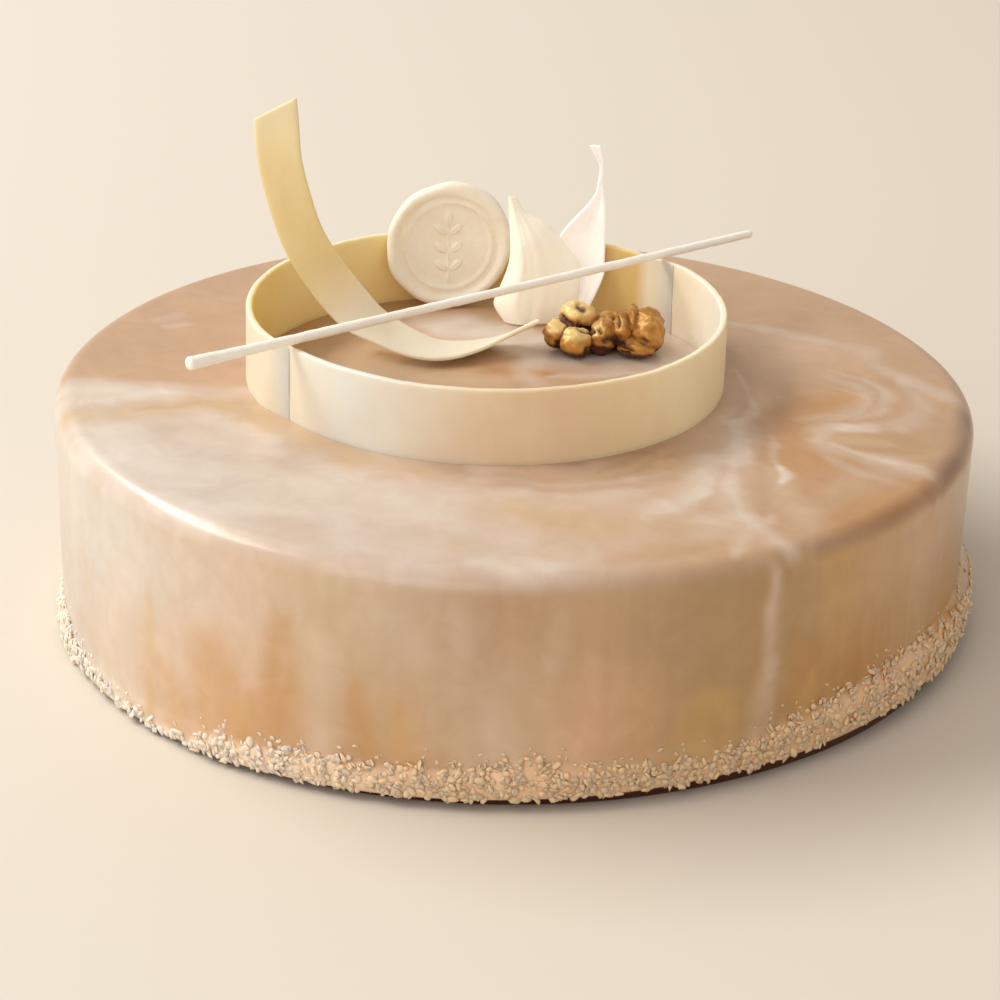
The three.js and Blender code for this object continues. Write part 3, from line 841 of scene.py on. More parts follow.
def chips(random, count, corners):
    # Flat lumps: an uneven outline of a few corners between two smaller ones, and a
    # point in the middle above and below
    turn = np.arange(corners) + random.uniform(-0.3, 0.3, (count, corners))
    turn = turn * 2 * math.pi / corners
    reach = random.uniform(0.32, 0.58, (count, corners))
    rings = [np.stack([share * reach * np.cos(turn), share * reach * np.sin(turn),
                       high * random.uniform(0.7, 1.2, (count, corners))], -1)
             for share, high in ((0.62, 0.42), (1.0, 0.0), (0.62, -0.42))]
    middles = np.zeros((count, 2, 3))
    middles[:, 0, 2], middles[:, 1, 2] = 0.5, -0.5
    top, middle, under = np.arange(3 * corners).reshape(3, corners)
    tip, toe = np.full(corners, 3 * corners), np.full(corners, 3 * corners + 1)
    faces = [np.stack([top, np.roll(top, -1), tip], -1),
             np.stack([np.roll(under, -1), under, toe], -1)]
    for one, two in ((top, middle), (middle, under)):
        faces.append(np.stack([one, two, np.roll(two, -1)], -1))
        faces.append(np.stack([one, np.roll(two, -1), np.roll(one, -1)], -1))
    return np.concatenate(rings + [middles], 1), np.concatenate(faces)


def wallRadius(angle, height):
    # The cake's own radius at an angle and height, read off its side's loops
    wall = cakeLoops[slice(*cakeSize["wallRows"])]
    column = np.searchsorted(cakeTurns, np.where(angle < cakeTurns[0], angle + 2 * math.pi, angle))
    column = np.minimum(column, len(cakeTurns) - 1)
    high, out = wall[:, column, 2], np.hypot(wall[:, column, 0], wall[:, column, 1])
    row = np.clip((high < height).sum(0) - 1, 0, len(wall) - 2)
    at = np.arange(len(angle))
    share = (height - high[row, at]) / np.maximum(high[row + 1, at] - high[row, at], 1e-9)
    return out[row, at] + (out[row + 1, at] - out[row, at]) * np.clip(share, 0, 1)


def makeFlakes(size, cake):
    # Each chip is drawn out, bent and turned, and half sunk in the side at a random
    # angle and height. The upper ones lie looser, and a few stray higher up.
    random = np.random.default_rng(12)
    count = size["count"] + size["strays"]
    angle = random.uniform(0, 2 * math.pi, count)
    level = cake["radius"] * np.cos(angle)
    top = flakeTop(angle) * (1 - cake["topSlope"] * level / cake["height"])
    low = cake["footHeight"] + cake["footSlope"] * level + 0.0002 + 0.0006 * random.random(count)
    share = random.random(count) ** 0.9
    height = low + share * np.maximum(top - low, 0.0005)
    kept = random.random(count) < (1 - 0.4 * smoothStep(share, 0.75, 1.0)) \
        * np.clip(top / 0.012, 0.3, 1.3)
    stray = np.arange(count) >= size["count"]
    height = np.where(stray, top + 0.004 * random.random(count) ** 2, height)
    kept |= stray & (random.random(count) < 0.6)
    angle, height, share, stray = angle[kept], height[kept], share[kept], stray[kept]
    count = len(angle)
    points, sides = chips(random, count, size["corners"])
    scale = np.stack([random.uniform(*size[k], count)
                      for k in ("width", "length", "thickness")], -1)
    points = points * (scale * (1 - 0.4 * stray[:, None]) * mm)[:, None]
    bend = random.uniform(-0.2, 0.2, count)[:, None] / (scale[:, 1:2] * mm)
    points[..., 2] += bend * points[..., 1] ** 2
    loose = smoothStep(share, 0.6, 1.0) * ~stray
    points = turned(points, 1, random.normal(0, 0.3 + 0.25 * loose, count))
    points = turned(points, 0, random.normal(0, 0.25 + 0.25 * loose, count))
    points = turned(points, 2, random.uniform(-1.7, 1.7, count))
    # Local z points outwards from the side and local y upwards
    layer = mm * random.uniform(-0.3, 0.5, count) * np.where(stray, 0.3, 1)
    outward = (wallRadius(angle, height) + layer)[:, None] + points[..., 2]
    placed = np.stack([*spun(outward, points[..., 0], angle[:, None]),
                       np.maximum(height[:, None] + points[..., 1], 0.0004)], -1)
    each = points.shape[1]
    faces = (sides[None] + (each * np.arange(count))[:, None, None]).reshape(-1, 3)
    # Their tone: painted shade, darker towards the front and right, with a little random spread
    tone = 1 - byAngle(flakeShading, angle) + 0.12 * (random.random(count) - 0.5)
    tone = np.clip(tone, 0, 1)[:, None, None] * np.ones((1, each, 3))
    makePiece("cake_flakes", placed.reshape(-1, 3), [faces], flakeFinish(), "glaze", ["cake"],
              tone.reshape(-1, 3))


def flakeFinish():
    material, start, shader = newMaterial("whiteFlakes", {
        "Roughness": 0.6, "IOR": 1.45, "Subsurface Weight": 0.5,
        "Subsurface Radius": (1.0, 0.75, 0.5), "Subsurface Scale": 0.0025})
    # Painted shade: the shaded colour where the piece's painted tone is low, the pale one where it
    # is high
    tone = painted(start, 2) * 0.85 + grain(start, 700, 2) * 0.2 - 0.05
    feed(shader, "Base Color", tone.between(0, 1).mix(colour4(flakeColours["shaded"]),
                                                      colour4(flakeColours["pale"])))
    bumpOn(shader, grain(start, 1500, 3), 0.0001)
    return material


makeFlakes(flakeSize, cakeSize)


# Chocolate ring

# Tones of the ivory chocolate: pale where the light falls on it, golden in its shade where light
# comes through it, as painted light and shade
chocolateLitAndShaded = {
    "pearl": (230, 230, 225),
    "ivory": (240, 230, 210),
    "butter": (255, 240, 210),
    "custard": (235, 220, 185),
    "straw": (235, 215, 165),
    "sand": (230, 210, 180),
    "gold": (215, 190, 125),
    "honey": (250, 230, 175),
    "amber": (255, 225, 140),
}

ringSize = {
    "centre": (-0.0076, 0.0078),
    "radius": 0.0621,
    "height": 0.0197,
    "wall": 0.0018,
    "frontJoint": 212,       # degrees from +X
    "backJoint": 38,
    "overlap": 3.5,
    "gap": 0.0003,
    "rounding": 0.0006,
    "pressed": 0.07,         # the share of the wall left at each end
    "pressedLength": 0.013,
    "sunk": 0.0005,          # its foot lies this deep in the glaze
    "steps": 260,
    # Degrees from +X, and the chocolate's tone there inside and outside: painted light
    # and shade, golden where the wall is in shade and lit through from behind, pale where
    # the light falls on it
    "shadedTones": [
        (0, "pearl", "butter"), (28, "ivory", "ivory"), (42.5, "ivory", "ivory"),
        (46.5, "gold", "ivory"), (80, "gold", "ivory"), (115, "honey", "ivory"),
        (150, "honey", "ivory"), (175, "amber", "ivory"), (192, "amber", "ivory"),
        (210, "butter", "ivory"), (236, "ivory", "pearl"), (272, "ivory", "sand"),
        (287, "ivory", "sand"), (300, "ivory", "custard"), (322, "ivory", "butter"),
        (345, "pearl", "butter"), (360, "pearl", "butter"),
    ],
}


def roundedLoop(halfWide, halfHigh, rounding, cornerSteps=5, sideSteps=(3, 14)):
    # Points round a rectangle with round corners, anticlockwise from the right
    turns = np.linspace(0, math.pi / 2, cornerSteps) + np.arange(4)[:, None] * math.pi / 2
    middles = np.array([(1, 1), (-1, 1), (-1, -1), (1, -1)]) * (halfWide - rounding,
                                                                halfHigh - rounding)
    corners = middles[:, None] + rounding * np.stack([np.cos(turns), np.sin(turns)], -1)
    found = []
    for k in range(4):
        start, goal = corners[k, -1], corners[(k + 1) % 4, 0]
        share = np.linspace(0, 1, sideSteps[k % 2] + 1)[1:-1, None]
        found += [corners[k], start + (goal - start) * share]
    return np.concatenate(found)


def ringHalf(name, size, firstJoint, lastJoint, node, seed):
    # A rounded section swept along an arc from the joint where it lies inside the
    # other half to the one where it lies outside, and set towards that one. Noise
    # makes the wall's radius and its upper edge wander a little.
    shift = (size["wall"] + size["gap"] + 0.0001) / 2
    x, y = spun(shift, 0, math.radians(lastJoint)) + np.array(size["centre"])
    first = math.radians(firstJoint - size["overlap"])
    last = math.radians(lastJoint + size["overlap"])
    halfWide, rounding = size["wall"] / 2, size["rounding"]
    bottom, top = -size["sunk"], size["height"] + size["gap"]
    section = roundedLoop(halfWide, (top - bottom) / 2, rounding)
    ease = np.array([0, 0.06, 0.25, 0.55, 1]) * rounding / size["radius"]
    turns = np.concatenate([first + ease, np.linspace(first + 0.01, last - 0.01, size["steps"]),
                            last - ease[::-1]])
    shrink = 1 - np.array([0.5, 0.28, 0.12, 0.03, 0])
    shrink = np.concatenate([shrink, np.ones(size["steps"]), shrink[::-1]])[:, None]
    # Pressed thin at both ends: on its inside at the first, on its outside at the last
    toFirst, toLast = (part[:, None] * size["radius"] for part in (turns - first, last - turns))
    thinFirst, thinLast = (size["pressed"] + (1 - size["pressed"])
                           * smoothStep(part, 0, size["pressedLength"])
                           for part in (toFirst, toLast))
    across = halfWide - (halfWide - section[:, 0] * shrink) * thinFirst
    tuck = (size["gap"] + 0.00017) * (1 - smoothStep(toLast, 0.003, 0.014))
    across = -halfWide + (across + halfWide) * thinLast - tuck
    high = (top + bottom) / 2 + (np.abs(section[:, 1]) - rounding * (1 - shrink)) \
        * np.sign(section[:, 1])
    arc = (turns * size["radius"] / mm)[:, None]
    wander = 0.12 * mm * noise(arc / 17 + 50, high / mm / 12 + 3, seed) \
        + 0.05 * mm * noise(arc / 5 + 50, high / mm / 6 + 3, seed + 1)
    lip = 0.16 * mm * noise(arc / 13 + 50, 0 * high, seed + 2) \
        + 0.07 * mm * noise(arc / 3.5 + 50, 0 * high, seed + 3)
    radius = size["radius"] - halfWide + across + wander
    loops = np.stack([x + radius * np.cos(turns)[:, None], y + radius * np.sin(turns)[:, None],
                      high + lip * smoothStep(high, 0.010, top)], -1)
    # The inside's tone over the section's inner part, the outside's over the rest: the
    # table's painted light and shade
    angles, inner, outer = zip(*size["shadedTones"])
    inner, outer = (zoned(np.degrees(turns) % 360, angles, part, chocolateLitAndShaded)[:, None]
                    for part in (inner, outer))
    paint = blend(outer, inner, smoothStep(-section[:, 0], 0, 0.6 * halfWide))
    makePiece(name, *loftFaces(topping(loops)), chocolate, "chocolate", [node], withEnds(paint))


def chocolateFinish():
    material, start, shader = newMaterial("ivoryChocolate", {
        "IOR": 1.45, "Subsurface Weight": 0.4,
        "Subsurface Radius": (1.0, 0.65, 0.3), "Subsurface Scale": 0.004})
    clouds = grain(start, 45, 3, warp=0.6)
    fine = grain(start, 260, 3, stretch=(1, 1, 0.35))
    shade = (clouds * 0.7 + fine * 0.3).between(0.35, 0.65)
    paintThrough(start, shader, shade, (251, 248, 244))
    feed(shader, "Roughness", 0.4 + 0.12 * fine)
    bumpOn(shader, fine, 0.00008)
    return material


chocolate = chocolateFinish()
backJoint, frontJoint = ringSize["backJoint"], ringSize["frontJoint"]
ringHalf("ring_back_half", ringSize, backJoint, frontJoint, "ring_back", 31)
ringHalf("ring_front_half", ringSize, frontJoint, backJoint + 360, "ring_front", 36)


# Ribbon

ribbonSize = {
    "width": 0.0116,
    "thickness": 0.0013,
    "cut": 0.0045,             # the right edge is longer at the top end
    "steps": (15, 240),        # across and along
    "route": [                 # x, y, height in millimetres, and roll in degrees
        (6.6, 27, 8.6, -19), (-6, 25, 3.2, -16), (-22, 17.5, 3.4, 7), (-36.5, 20.5, 8, 30),
        (-46, 22.5, 15.5, 69), (-56.5, 23.5, 31, 91), (-62.5, 24.5, 50, 98),
        (-64.5, 28, 65.5, 91),
    ],
    # Share of the way along it, and the chocolate's tone there: painted light and shade,
    # golden where its upper part is lit through from behind
    "shadedTones": [
        (0, "ivory"), (0.52, "ivory"), (0.66, "straw"), (0.85, "straw"), (1, "custard"),
    ],
}


def ribbonSurface(size):
    # The route's own curve, and across it a line turned by the roll from level
    route = np.array(size["route"], float)

    def surface(across, along):
        centre = smoothCurve(route[:, :3], along) * mm
        step = 1e-4
        tangent = unit(smoothCurve(route[:, :3], np.minimum(along + step, 1))
                       - smoothCurve(route[:, :3], np.maximum(along - step, 0)))
        level = unit(np.array([0, 1, 0]) - tangent * tangent[..., 1:2])
        upright = np.cross(level, tangent)
        roll = np.radians(smoothCurve(route[:, 3:], along)[..., 0])[..., None]
        offset = ((across - 0.5) * size["width"])[..., None]
        cut = ((across - 0.5) * size["cut"] * np.clip((along - 0.9) / 0.1, 0, 1))[..., None]
        wavy = (0.1 * mm * noise(along * 14, across * 2, 81))[..., None]
        return centre + level * offset * np.cos(roll) + upright * (offset * np.sin(roll) + wavy) \
            + tangent * cut
    return surface


def makeRibbon(size):
    # The sheet, painted along its length with its light and shade
    loops = sheetLoops(ribbonSurface(size), size["thickness"], *size["steps"])
    paint = zoned(np.linspace(0, 1, len(loops)), *zip(*size["shadedTones"]), chocolateLitAndShaded)
    makePiece("ribbon_curl", *loftFaces(topping(loops)), chocolate, "chocolate", ["ribbon"],
              withEnds(paint[:, None] + np.zeros(loops.shape)))


makeRibbon(ribbonSize)


# Stick

stickSize = {
    "start": (-81.5, -47, 22.2),
    "end": (65, 65.5, 21.7),
    "radius": 1.1,
    "swell": [(0.35, 60), (0.35, 8)],    # extra radius at the start, and its fading length
    "roughness": 0.07,
    "steps": 260,
    "around": 28,
    "cap": 1.6,                          # length of each rounded end
}


def makeStick(size):
    # Rings of points along a straight line. The radius is the stick's own, plus
    # fading exponentials at the start, and falls as a quarter circle at each end.
    start, end = np.array(size["start"], float), np.array(size["end"], float)
    length = np.linalg.norm(end - start)
    axis = (end - start) / length
    side = unit(np.cross(axis, [0, 0, 1.0]))
    up = np.cross(side, axis)
    quarter = np.linspace(0.12, math.pi / 2, 9)
    ease = size["radius"] * (1 - np.cos(quarter))
    middle = np.linspace(size["cap"], length - size["cap"], size["steps"])
    along = np.concatenate([ease, middle, length - ease[::-1]])[:, None]
    closing = np.concatenate([np.sin(quarter), np.ones(size["steps"]), np.sin(quarter)[::-1]])
    radius = size["radius"] + sum(extra * np.exp(-along / fade) for extra, fade in size["swell"])
    index = np.arange(size["around"])
    reach = radius * closing[:, None] * (1 + size["roughness"] * noise(along / 2.2, index / 4, 91))
    turn = (2 * math.pi * index / size["around"])[:, None]
    loops = start + along[..., None] * axis \
        + reach[..., None] * (np.cos(turn) * side + np.sin(turn) * up)
    makePiece("stick_rod", *loftFaces(topping(loops * mm)), whiteChocolate, "white_chocolate",
              ["stick"])


def whiteFinish(name, pale, warm, rough=0.5, reach=0.003, glow=((255, 255, 255), 0.0)):
    # glow is an emission, a painted light for thin chocolate lit through from behind
    material, start, shader = newMaterial(name, {
        "IOR": 1.45, "Subsurface Weight": 0.3, "Subsurface Radius": (1.0, 0.85, 0.7),
        "Subsurface Scale": reach, "Emission Color": colour4(glow[0]),
        "Emission Strength": glow[1]})
    clouds = grain(start, 120, 3)
    fine = grain(start, 900, 3)
    shade = (clouds * 0.6 + fine * 0.4).between(0.35, 0.65)
    feed(shader, "Base Color", shade.mix(colour4(warm), colour4(pale)))
    feed(shader, "Roughness", rough + 0.1 * fine)
    bumpOn(shader, fine, 0.00012)
    return material


whiteChocolate = whiteFinish("whiteChocolate", (255, 250, 242), (252, 243, 231))
makeStick(stickSize)


# Seal

sealSize = {
    "radius": 17.5,
    "thickness": 3.6,
    "place": (-18.2, 56.6, 0.3),
    "lean": 6,
    "turn": 8,
    "leafLength": 4.6,
    "leafWidth": 2.4,
    "leafRelief": 0.8,
    "leafPairs": 3,
    # Front face from the rim inwards: radius and height above the back
    "face": [(17.4, 1.9), (17.1, 2.8), (16.3, 3.5), (15.3, 3.6), (14.5, 3.1), (13.7, 2.3),
             (12.9, 2.2), (12.2, 2.6), (11.6, 2.55), (10.8, 2.25), (9, 2.2), (0, 2.2)],
}


def leafRelief(size, x, y):
    # Domes over long ellipses, in pairs up a stem, each with a groove along its middle
    high = np.zeros(x.shape)
    pairs, length = size["leafPairs"], size["leafLength"]
    leaves = [(0, length * 1.15, 0)]
    for i in range(pairs):
        at = -length * 1.5 + length * 2.2 * i / (pairs - 1)
        leaves += [(0.2, at, -0.9), (-0.2, at, 0.9)]
    for cx, cy, turn in leaves:
        across, along = spun(x - cx, y - cy, -turn)
        middle = (along - length / 2) / (length / 2)
        taper = np.maximum(1 - middle ** 2, 0) ** 0.8 * size["leafWidth"] / 2
        dome = np.sqrt(np.maximum(1 - (across / np.maximum(taper, 1e-3)) ** 2, 0))
        dome = dome * np.maximum(1 - middle ** 2, 0) ** 0.4
        groove = 0.35 * np.exp(-(across / 0.16) ** 2)
        high = np.maximum(high, dome * (1 - groove))
    stem = np.exp(-(x / 0.35) ** 2) * smoothStep(y, -length * 2.3, -length * 2.0) \
        * (1 - smoothStep(y, length, length * 1.3))
    return size["leafRelief"] * np.maximum(high, 0.6 * stem)


def makeSeal(size):
    # A profile turned about the seal's axis, from the back's middle over the rim to
    # the front's middle. The rim is stretched by waves of the angle, noise makes its
    # height uneven, and the groove inside it is filled at the upper right.
    turn = np.linspace(0, 2 * math.pi, 200, endpoint=False)[None]
    back = [(4, 0), (10, 0), (15, 0), (16.1, 0.05), (16.7, 0.3), (17.2, 0.9), (17.45, 1.5)]
    face = np.array(size["face"], float)
    fine = smoothCurve(face[:-1], np.linspace(0, 1, 56))
    middle = np.stack([np.linspace(8.85, 0.15, 46), np.full(46, face[-1, 1])], -1)
    profile = np.concatenate([back, fine, middle])
    radius, height = profile[:, :1], profile[:, 1:]
    rim = np.clip((radius - 13.7) / (17.5 - 13.7), 0, 1)
    smear = 0.5 * np.cos(turn - 0.9) + 0.3 * np.cos(2 * turn - 1.8) + 0.15 * np.sin(5 * turn + 2)
    reach = radius + rim * smear + 0.12 * rim * np.sin(9 * turn + 1)
    x, y = reach * np.cos(turn), reach * np.sin(turn)
    front = smoothStep(height, 1.95, 2.15) * (np.arange(len(profile)) >= len(back))[:, None]
    flatTurn = np.exp(-((np.angle(np.exp(1j * (turn - 1.05)))) / 0.55) ** 2)
    groove = smoothStep(radius, 11.6, 12.6) * (1 - smoothStep(radius, 14.2, 15.4))
    lift = 0.75 * flatTurn * groove + 0.3 * rim * np.sin(3 * turn + 1)
    lift = lift + 0.12 * noise(x / 3 + 30, y / 3 + 30, 93) * (1 - 0.5 * groove)
    inside = 1 - smoothStep(np.hypot(x, y), 10.6, 11.4)
    high = height + front * (lift + leafRelief(size, x, y) * inside)
    # Stood up on its edge, leaning back, and then turned about the upright
    y, z = spun(y + size["radius"], high - size["thickness"], math.radians(90 - size["lean"]))
    x, y = spun(x, y, math.radians(size["turn"]))
    loops = topping((np.stack([x, y, z], -1) + size["place"]) * mm)
    finish = whiteFinish("sealChocolate", (254, 246, 233), (250, 238, 220))
    makePiece("seal_disc", *loftFaces(loops), finish, "white_chocolate", ["seal"])


makeSeal(sealSize)


# Petals

petalThickness = 0.001
petalSteps = (60, 110)       # across and along

leftPetal = {
    "left": [(-2.5, 47.5, 0.5), (-5.5, 48.5, 5), (-4.5, 49.5, 8.5), (-1.5, 51.5, 17.5),
             (-2, 53.5, 30), (-2.4, 54, 34.3)],
    "right": [(11.5, 48, 0.5), (16.5, 49.5, 4.5), (17.5, 53, 14.5), (14, 54, 20), (8, 54, 26.7),
              (2.5, 54, 29.4), (-0.8, 54, 34.3)],
    "ridge": 0.27,
    "depth": 4.5,
    "pleats": 0.25,
}
rightPetal = {
    "left": [(14, 54, 0.5), (14.5, 56, 9), (12.5, 58, 18), (12.4, 58, 22.5), (20.3, 57, 33),
             (22, 57, 38.5), (22, 57, 43), (19.1, 57, 48.5)],
    "right": [(19.5, 53.5, 0.5), (24, 54.5, 11.5), (24.2, 55.5, 17), (24.2, 56, 22.5),
              (24, 56, 29.5), (23.2, 57, 37), (23.2, 57, 42.5), (22, 57, 48.5)],
    "ridge": 0.5,
    "depth": -3,
    "pleats": 0.2,
}


def petalSurface(size, seed):
    # Straight lines from the left outline to the right one, pushed forwards by a
    # fold: the sine of a quarter turn on each side of the ridge, with fine pleats
    def surface(across, along):
        left, right = smoothCurve(size["left"], along), smoothCurve(size["right"], along)
        point = left + (right - left) * across[..., None]
        ridge = size["ridge"]
        fold = np.where(across < ridge, across / ridge, (1 - across) / (1 - ridge))
        fade = np.sin(math.pi * (0.12 + 0.88 * along)).clip(0) ** 0.7
        wide = np.clip(np.linalg.norm(right - left, axis=-1) / 12, 0, 1)
        push = size["depth"] * (0.75 * np.sin(fold * math.pi / 2) + 0.25 * fold) * fade * wide
        pleats = size["pleats"] * noise(across * 9 + 3, along * 2.5 + 4, seed) \
            + 0.3 * size["pleats"] * noise(across * 22 + 3, along * 4 + 4, seed + 1)
        point[..., 1] -= push + pleats * wide * np.sin(math.pi * across).clip(0) ** 0.5
        return point * mm
    return surface


# Both carry a faint glow, a painted light that stands in for the light behind them
# showing through the thin chocolate
petalSoftGlow = whiteFinish("petalSoftGlowChocolate", (254, 247, 234), (252, 241, 222), 0.42, 0.002,
                         ((255, 246, 230), 0.12))
petalStrongGlow = whiteFinish("petalStrongGlowChocolate", (254, 250, 243), (253, 246, 235), 0.42, 0.002,
                        ((245, 246, 255), 0.2))
for petalName, petalNode, petalSize, petalSeed, petalFinish in (
        ("petal_left_shaving", "petal_left", leftPetal, 41, petalSoftGlow),
        ("petal_right_shaving", "petal_right", rightPetal, 44, petalStrongGlow)):
    petalLoops = sheetLoops(petalSurface(petalSize, petalSeed), petalThickness, *petalSteps)
    makePiece(petalName, *loftFaces(topping(petalLoops)), petalFinish, "white_chocolate",
              [petalNode])


# Walnut

walnutSize = {
    "lobes": [               # centre and half sizes in millimetres
        (16.9, 31, 8.4, 4.7, 4.6, 4.3), (11.2, 26.5, 5, 3.3, 4.2, 3.6),
        (16.4, 23.4, 4.2, 4.3, 4.6, 3.9), (23.6, 26, 4.7, 3.6, 5.6, 4.4),
        (28.6, 26.5, 6.8, 2.1, 5.2, 4.4), (31.7, 29.5, 8.6, 1.7, 5, 3.6),
        (35.8, 28, 6.4, 4.3, 7.4, 5.6), (32.6, 23.2, 3.1, 4.8, 4, 2.7),
        (18, 32.5, 4.6, 8.4, 5.6, 4.3), (29, 32.5, 4.9, 8.6, 5.8, 4.6),
    ],
    "swell": 1.07,
    "voxel": 0.00032,
    "fillet": 0.8,           # millimetres over which two lobes run together
    "groove": 0.55,          # how deep the creases between lobes are
    "lumps": 0.5,
    "ridges": 0.15,
    # Dark gaps, bare nut and painted shade deep in the crevices, as seen from the front
    # and 21 degrees up: radius, then points across and up in millimetres
    "gapView": 20.7,
    "gaps": [
        (0.9, [(9, 21), (10.9, 19.7), (12.8, 18.7), (15, 17.2)]), (0.9, [(16.9, 22), (18.6, 21)]),
        (0.75, [(16.9, 16.7), (18.5, 15.7), (20.4, 15.2)]), (0.6, [(22, 15.8), (23.1, 15)]),
        (1.2, [(23.8, 12.3), (26.1, 13.5), (28.3, 12.2), (30.6, 10.1)]),
        (1.0, [(19.9, 9.6), (24.7, 9.4), (29.8, 8.8)]), (0.6, [(26.7, 19.1), (27.6, 17)]),
        (0.6, [(11.2, 11.7), (12.1, 9.3)]), (0.7, [(34.4, 13.4), (35.3, 12.7)]),
    ],
    "gapDepth": 1.3,
}


def ellipsoid(at, half, around=32, rows=20):
    # The unit sphere by longitude and latitude, stretched to the half sizes
    turn = np.linspace(0, 2 * math.pi, around, endpoint=False)[None]
    rise = np.linspace(-math.pi / 2 + 0.05, math.pi / 2 - 0.05, rows)[:, None]
    sphere = np.stack([np.cos(rise) * np.cos(turn), np.cos(rise) * np.sin(turn),
                       np.sin(rise) * np.ones_like(turn)], -1)
    return sphere * half + at


def frontGaps(size, points, normals, lumps):
    # Along each line, seen from the front: 1 on it, falling as the exponential of
    # minus the square of distance over radius. None on what faces away.
    view = math.radians(size["gapView"])
    up = points[:, 1] * math.sin(view) + points[:, 2] * math.cos(view)
    facing = normals[:, 2] * math.sin(view) - normals[:, 1] * math.cos(view)
    spot = np.stack([points[:, 0], up], -1) + 0.35 * lumps[:, None]
    found = np.zeros(len(points))
    for radius, line in size["gaps"]:
        path = smoothCurve(line, np.linspace(0, 1, 16))
        away = np.linalg.norm(spot[:, None] - path, axis=-1).min(1) / (1.15 * radius)
        found = np.maximum(found, np.exp(-away ** 2))
    return found * smoothStep(facing, -0.1, 0.3)


def mergedLobes(lobes, voxel):
    # The lobes' ellipsoids remeshed into one skin: its points in millimetres, their
    # normals, and its quads
    corners, faces = [], []
    for lobe in lobes:
        points, sides = loftFaces(ellipsoid(lobe[:3], lobe[3:]))
        faces += [row for part in sides for row in (part + len(points) * len(corners)).tolist()]
        corners.append(points)
    raw = bpy.data.meshes.new("walnutRaw")
    raw.from_pydata(np.concatenate(corners) * mm, [], faces)
    rough = addObject("walnutRaw", raw)
    merge = rough.modifiers.new("merge", "REMESH")
    merge.mode = "VOXEL"
    merge.voxel_size = voxel
    rough.update_tag()
    skin = bpy.data.meshes.new_from_object(
        rough.evaluated_get(bpy.context.evaluated_depsgraph_get()))
    bpy.data.objects.remove(rough)
    points, normals = np.zeros((2, len(skin.vertices) * 3))
    skin.vertices.foreach_get("co", points)
    skin.vertices.foreach_get("normal", normals)
    quads = np.zeros(len(skin.loops), np.int32)
    skin.loops.foreach_get("vertex_index", quads)
    return points.reshape(-1, 3) / mm, normals.reshape(-1, 3), quads.reshape(-1, 4)


def makeWalnut(size):
    # The skin is pressed in along the gaps and along the creases, where two lobes
    # are equally near, and wrinkled by noise. It is painted with how dark it is, the
    # bare nut and painted shade in its creases, valleys and gaps and painted shade
    # underneath, and with how pale, a painted highlight on the upper left lobes.
    lobes = np.array(size["lobes"]) * ([1] * 3 + [size["swell"]] * 3)
    points, normals, quads = mergedLobes(lobes, size["voxel"])
    half = lobes[:, 3:]
    reach = (np.linalg.norm((points[:, None] - lobes[:, :3]) / half, axis=-1) - 1) * half.mean(1)
    reach.sort(axis=1)
    fillet = size["fillet"] * np.log(np.exp(-reach / size["fillet"]).sum(1))
    crease = np.exp(-((reach[:, 1] - reach[:, 0]) / 0.45) ** 2)
    x, y, z = points.T
    lumps = noise(x / 3.3 + 0.5 * z + 9, y / 3.1 + z / 2.7 + 9, 51)
    bentX, bentY = x + 1.2 * lumps + 0.4 * z, y + z + noise(x / 2.4 + 20, z / 2.4 + 20, 53)
    ridges = 1 - 2 * np.abs(noise(bentX / 1.9 + 30, bentY / 2.6 + 30, 52))
    ridges = ridges + 0.4 * (1 - 2 * np.abs(noise(bentX / 0.9 + 60, bentY / 1.1 + 60, 54)))
    gap = frontGaps(size, points, normals, lumps)
    raised = 0.8 * fillet.clip(0, 1) - size["gapDepth"] * gap - size["groove"] * crease \
        + size["lumps"] * lumps + size["ridges"] * (ridges - 0.5)
    points = points + normals * raised[:, None]
    points[:, 2] = np.maximum(points[:, 2], 0.05)
    valley = 1 - smoothStep(ridges + 0.8 * lumps, -0.9, 0.25)
    opened = 0.85 - 0.45 * smoothStep(x, 20, 25)
    bareAndShade = np.clip(crease * opened + 0.25 * valley + 0.9 * gap, 0, 1)
    # Painted shade underneath, where the nut faces down onto the cake
    under = 1 - smoothStep(z, 1.0, 3.4) * smoothStep(normals[:, 2], -0.8, 0.0)
    bareAndShade = np.maximum(bareAndShade, under)
    # A painted highlight: paler gold on the upper left lobes, which face the light
    pale = (1 - 0.75 * smoothStep(x, 20, 24)) * smoothStep(z, 3.5, 8.5) \
        * smoothStep(normals[:, 2], -0.2, 0.8)
    makePiece("walnut_half", topping(points * mm), [quads], walnutFinish(), "gilding",
              ["walnut"], np.stack([bareAndShade, pale, 0 * bareAndShade], -1))


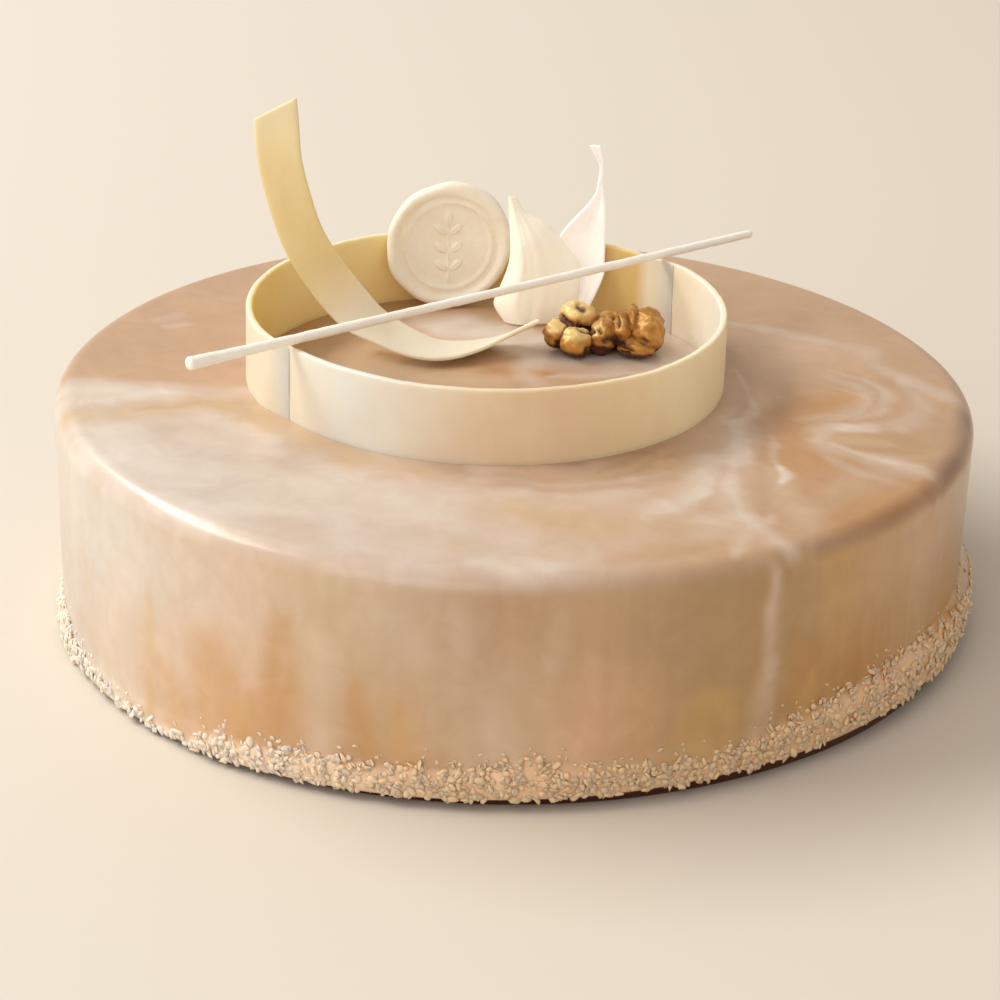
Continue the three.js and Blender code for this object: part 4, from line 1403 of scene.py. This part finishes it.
def walnutFinish():
    material, start, shader = newMaterial("gildedWalnut", {"IOR": 1.5})
    bareAndShade, pale = (start.node("SeparateColor", {}, {0: painted(start)}, output=k) for k in (0, 1))
    patches = grain(start, 300, 3, 0.6)
    # Dark brown for the bare nut in the creases and for the painted shade in the gaps and
    # underneath
    bareAndShaded = (bareAndShade + (patches - 0.5) * 0.5).between(0.1, 1.0)
    ochre = patches.between(0.35, 0.65).mix(colour4((170, 116, 48)), colour4((199, 145, 70)))
    # Paler gold where the painted highlight lies
    gold = (pale + (patches - 0.5) * 0.8).between(0.15, 0.85).mix(ochre, colour4((236, 204, 138)))
    feed(shader, "Base Color", bareAndShaded.mix(gold, colour4((80, 36, 14))))
    feed(shader, "Metallic", 0.3 * (1 - bareAndShaded))
    feed(shader, "Roughness", 0.4 + 0.2 * bareAndShaded + 0.1 * patches)
    bumpOn(shader, grain(start, 1100, 3), 0.0001)
    return material


makeWalnut(walnutSize)


# Floor, light and colour

studio = {
    "floorHalf": 8,
    "floor": (219, 214, 205),
    "floorRightShade": (216, 205, 192),
    "sky": (255, 247, 236),
    "skyStrength": 0.57,
    "lamps": [               # name, place, width and height, power and colour
        ("key", (-1.45, 0.42, 1.60), (2.2, 0.5), 41, (255, 251, 243)),
        ("fill", (-1.0, -2.0, 1.2), (1.8, 1.8), 16.5, (255, 248, 238)),
    ],
}


def makeStage(look):
    # A wide floor, painted a little darker and warmer to the right as shade where the
    # light falls off, the sky and the lamps
    half = look["floorHalf"]
    mesh = bpy.data.meshes.new("floor")
    mesh.from_pydata([(-half, -half, 0), (half, -half, 0), (half, half, 0), (-half, half, 0)],
                     [], [(0, 1, 2, 3)])
    material, start, shader = newMaterial("paleFloor", {"Roughness": 0.8})
    drift = start.node("SeparateXYZ", {}, {0: start.node("TexCoord", output=3)})
    feed(shader, "Base Color", drift.between(-0.45, 0.55).mix(colour4(look["floor"]),
                                                              colour4(look["floorRightShade"])))
    mesh.materials.append(material)
    floor = addObject("floor", mesh)
    world = bpy.data.worlds.new("studio")
    bpy.context.scene.world = world
    world.use_nodes = True
    background = world.node_tree.nodes["Background"]
    background.inputs["Color"].default_value = colour4(look["sky"])
    background.inputs["Strength"].default_value = look["skyStrength"]
    for name, place, size, power, colour in look["lamps"]:
        lamp = bpy.data.lights.new(name, "AREA")
        lamp.shape = "RECTANGLE"
        lamp.size, lamp.size_y = size
        lamp.energy = power
        lamp.color = colour4(colour)[:3]
        light = addObject(name, lamp)
        light.location = place
        light.rotation_mode = "QUATERNION"
        light.rotation_quaternion = (-Vector(place)).to_track_quat("-Z", "Y")
    bpy.context.scene.view_settings.view_transform = "Standard"


makeStage(studio)
print("stage and light ready")
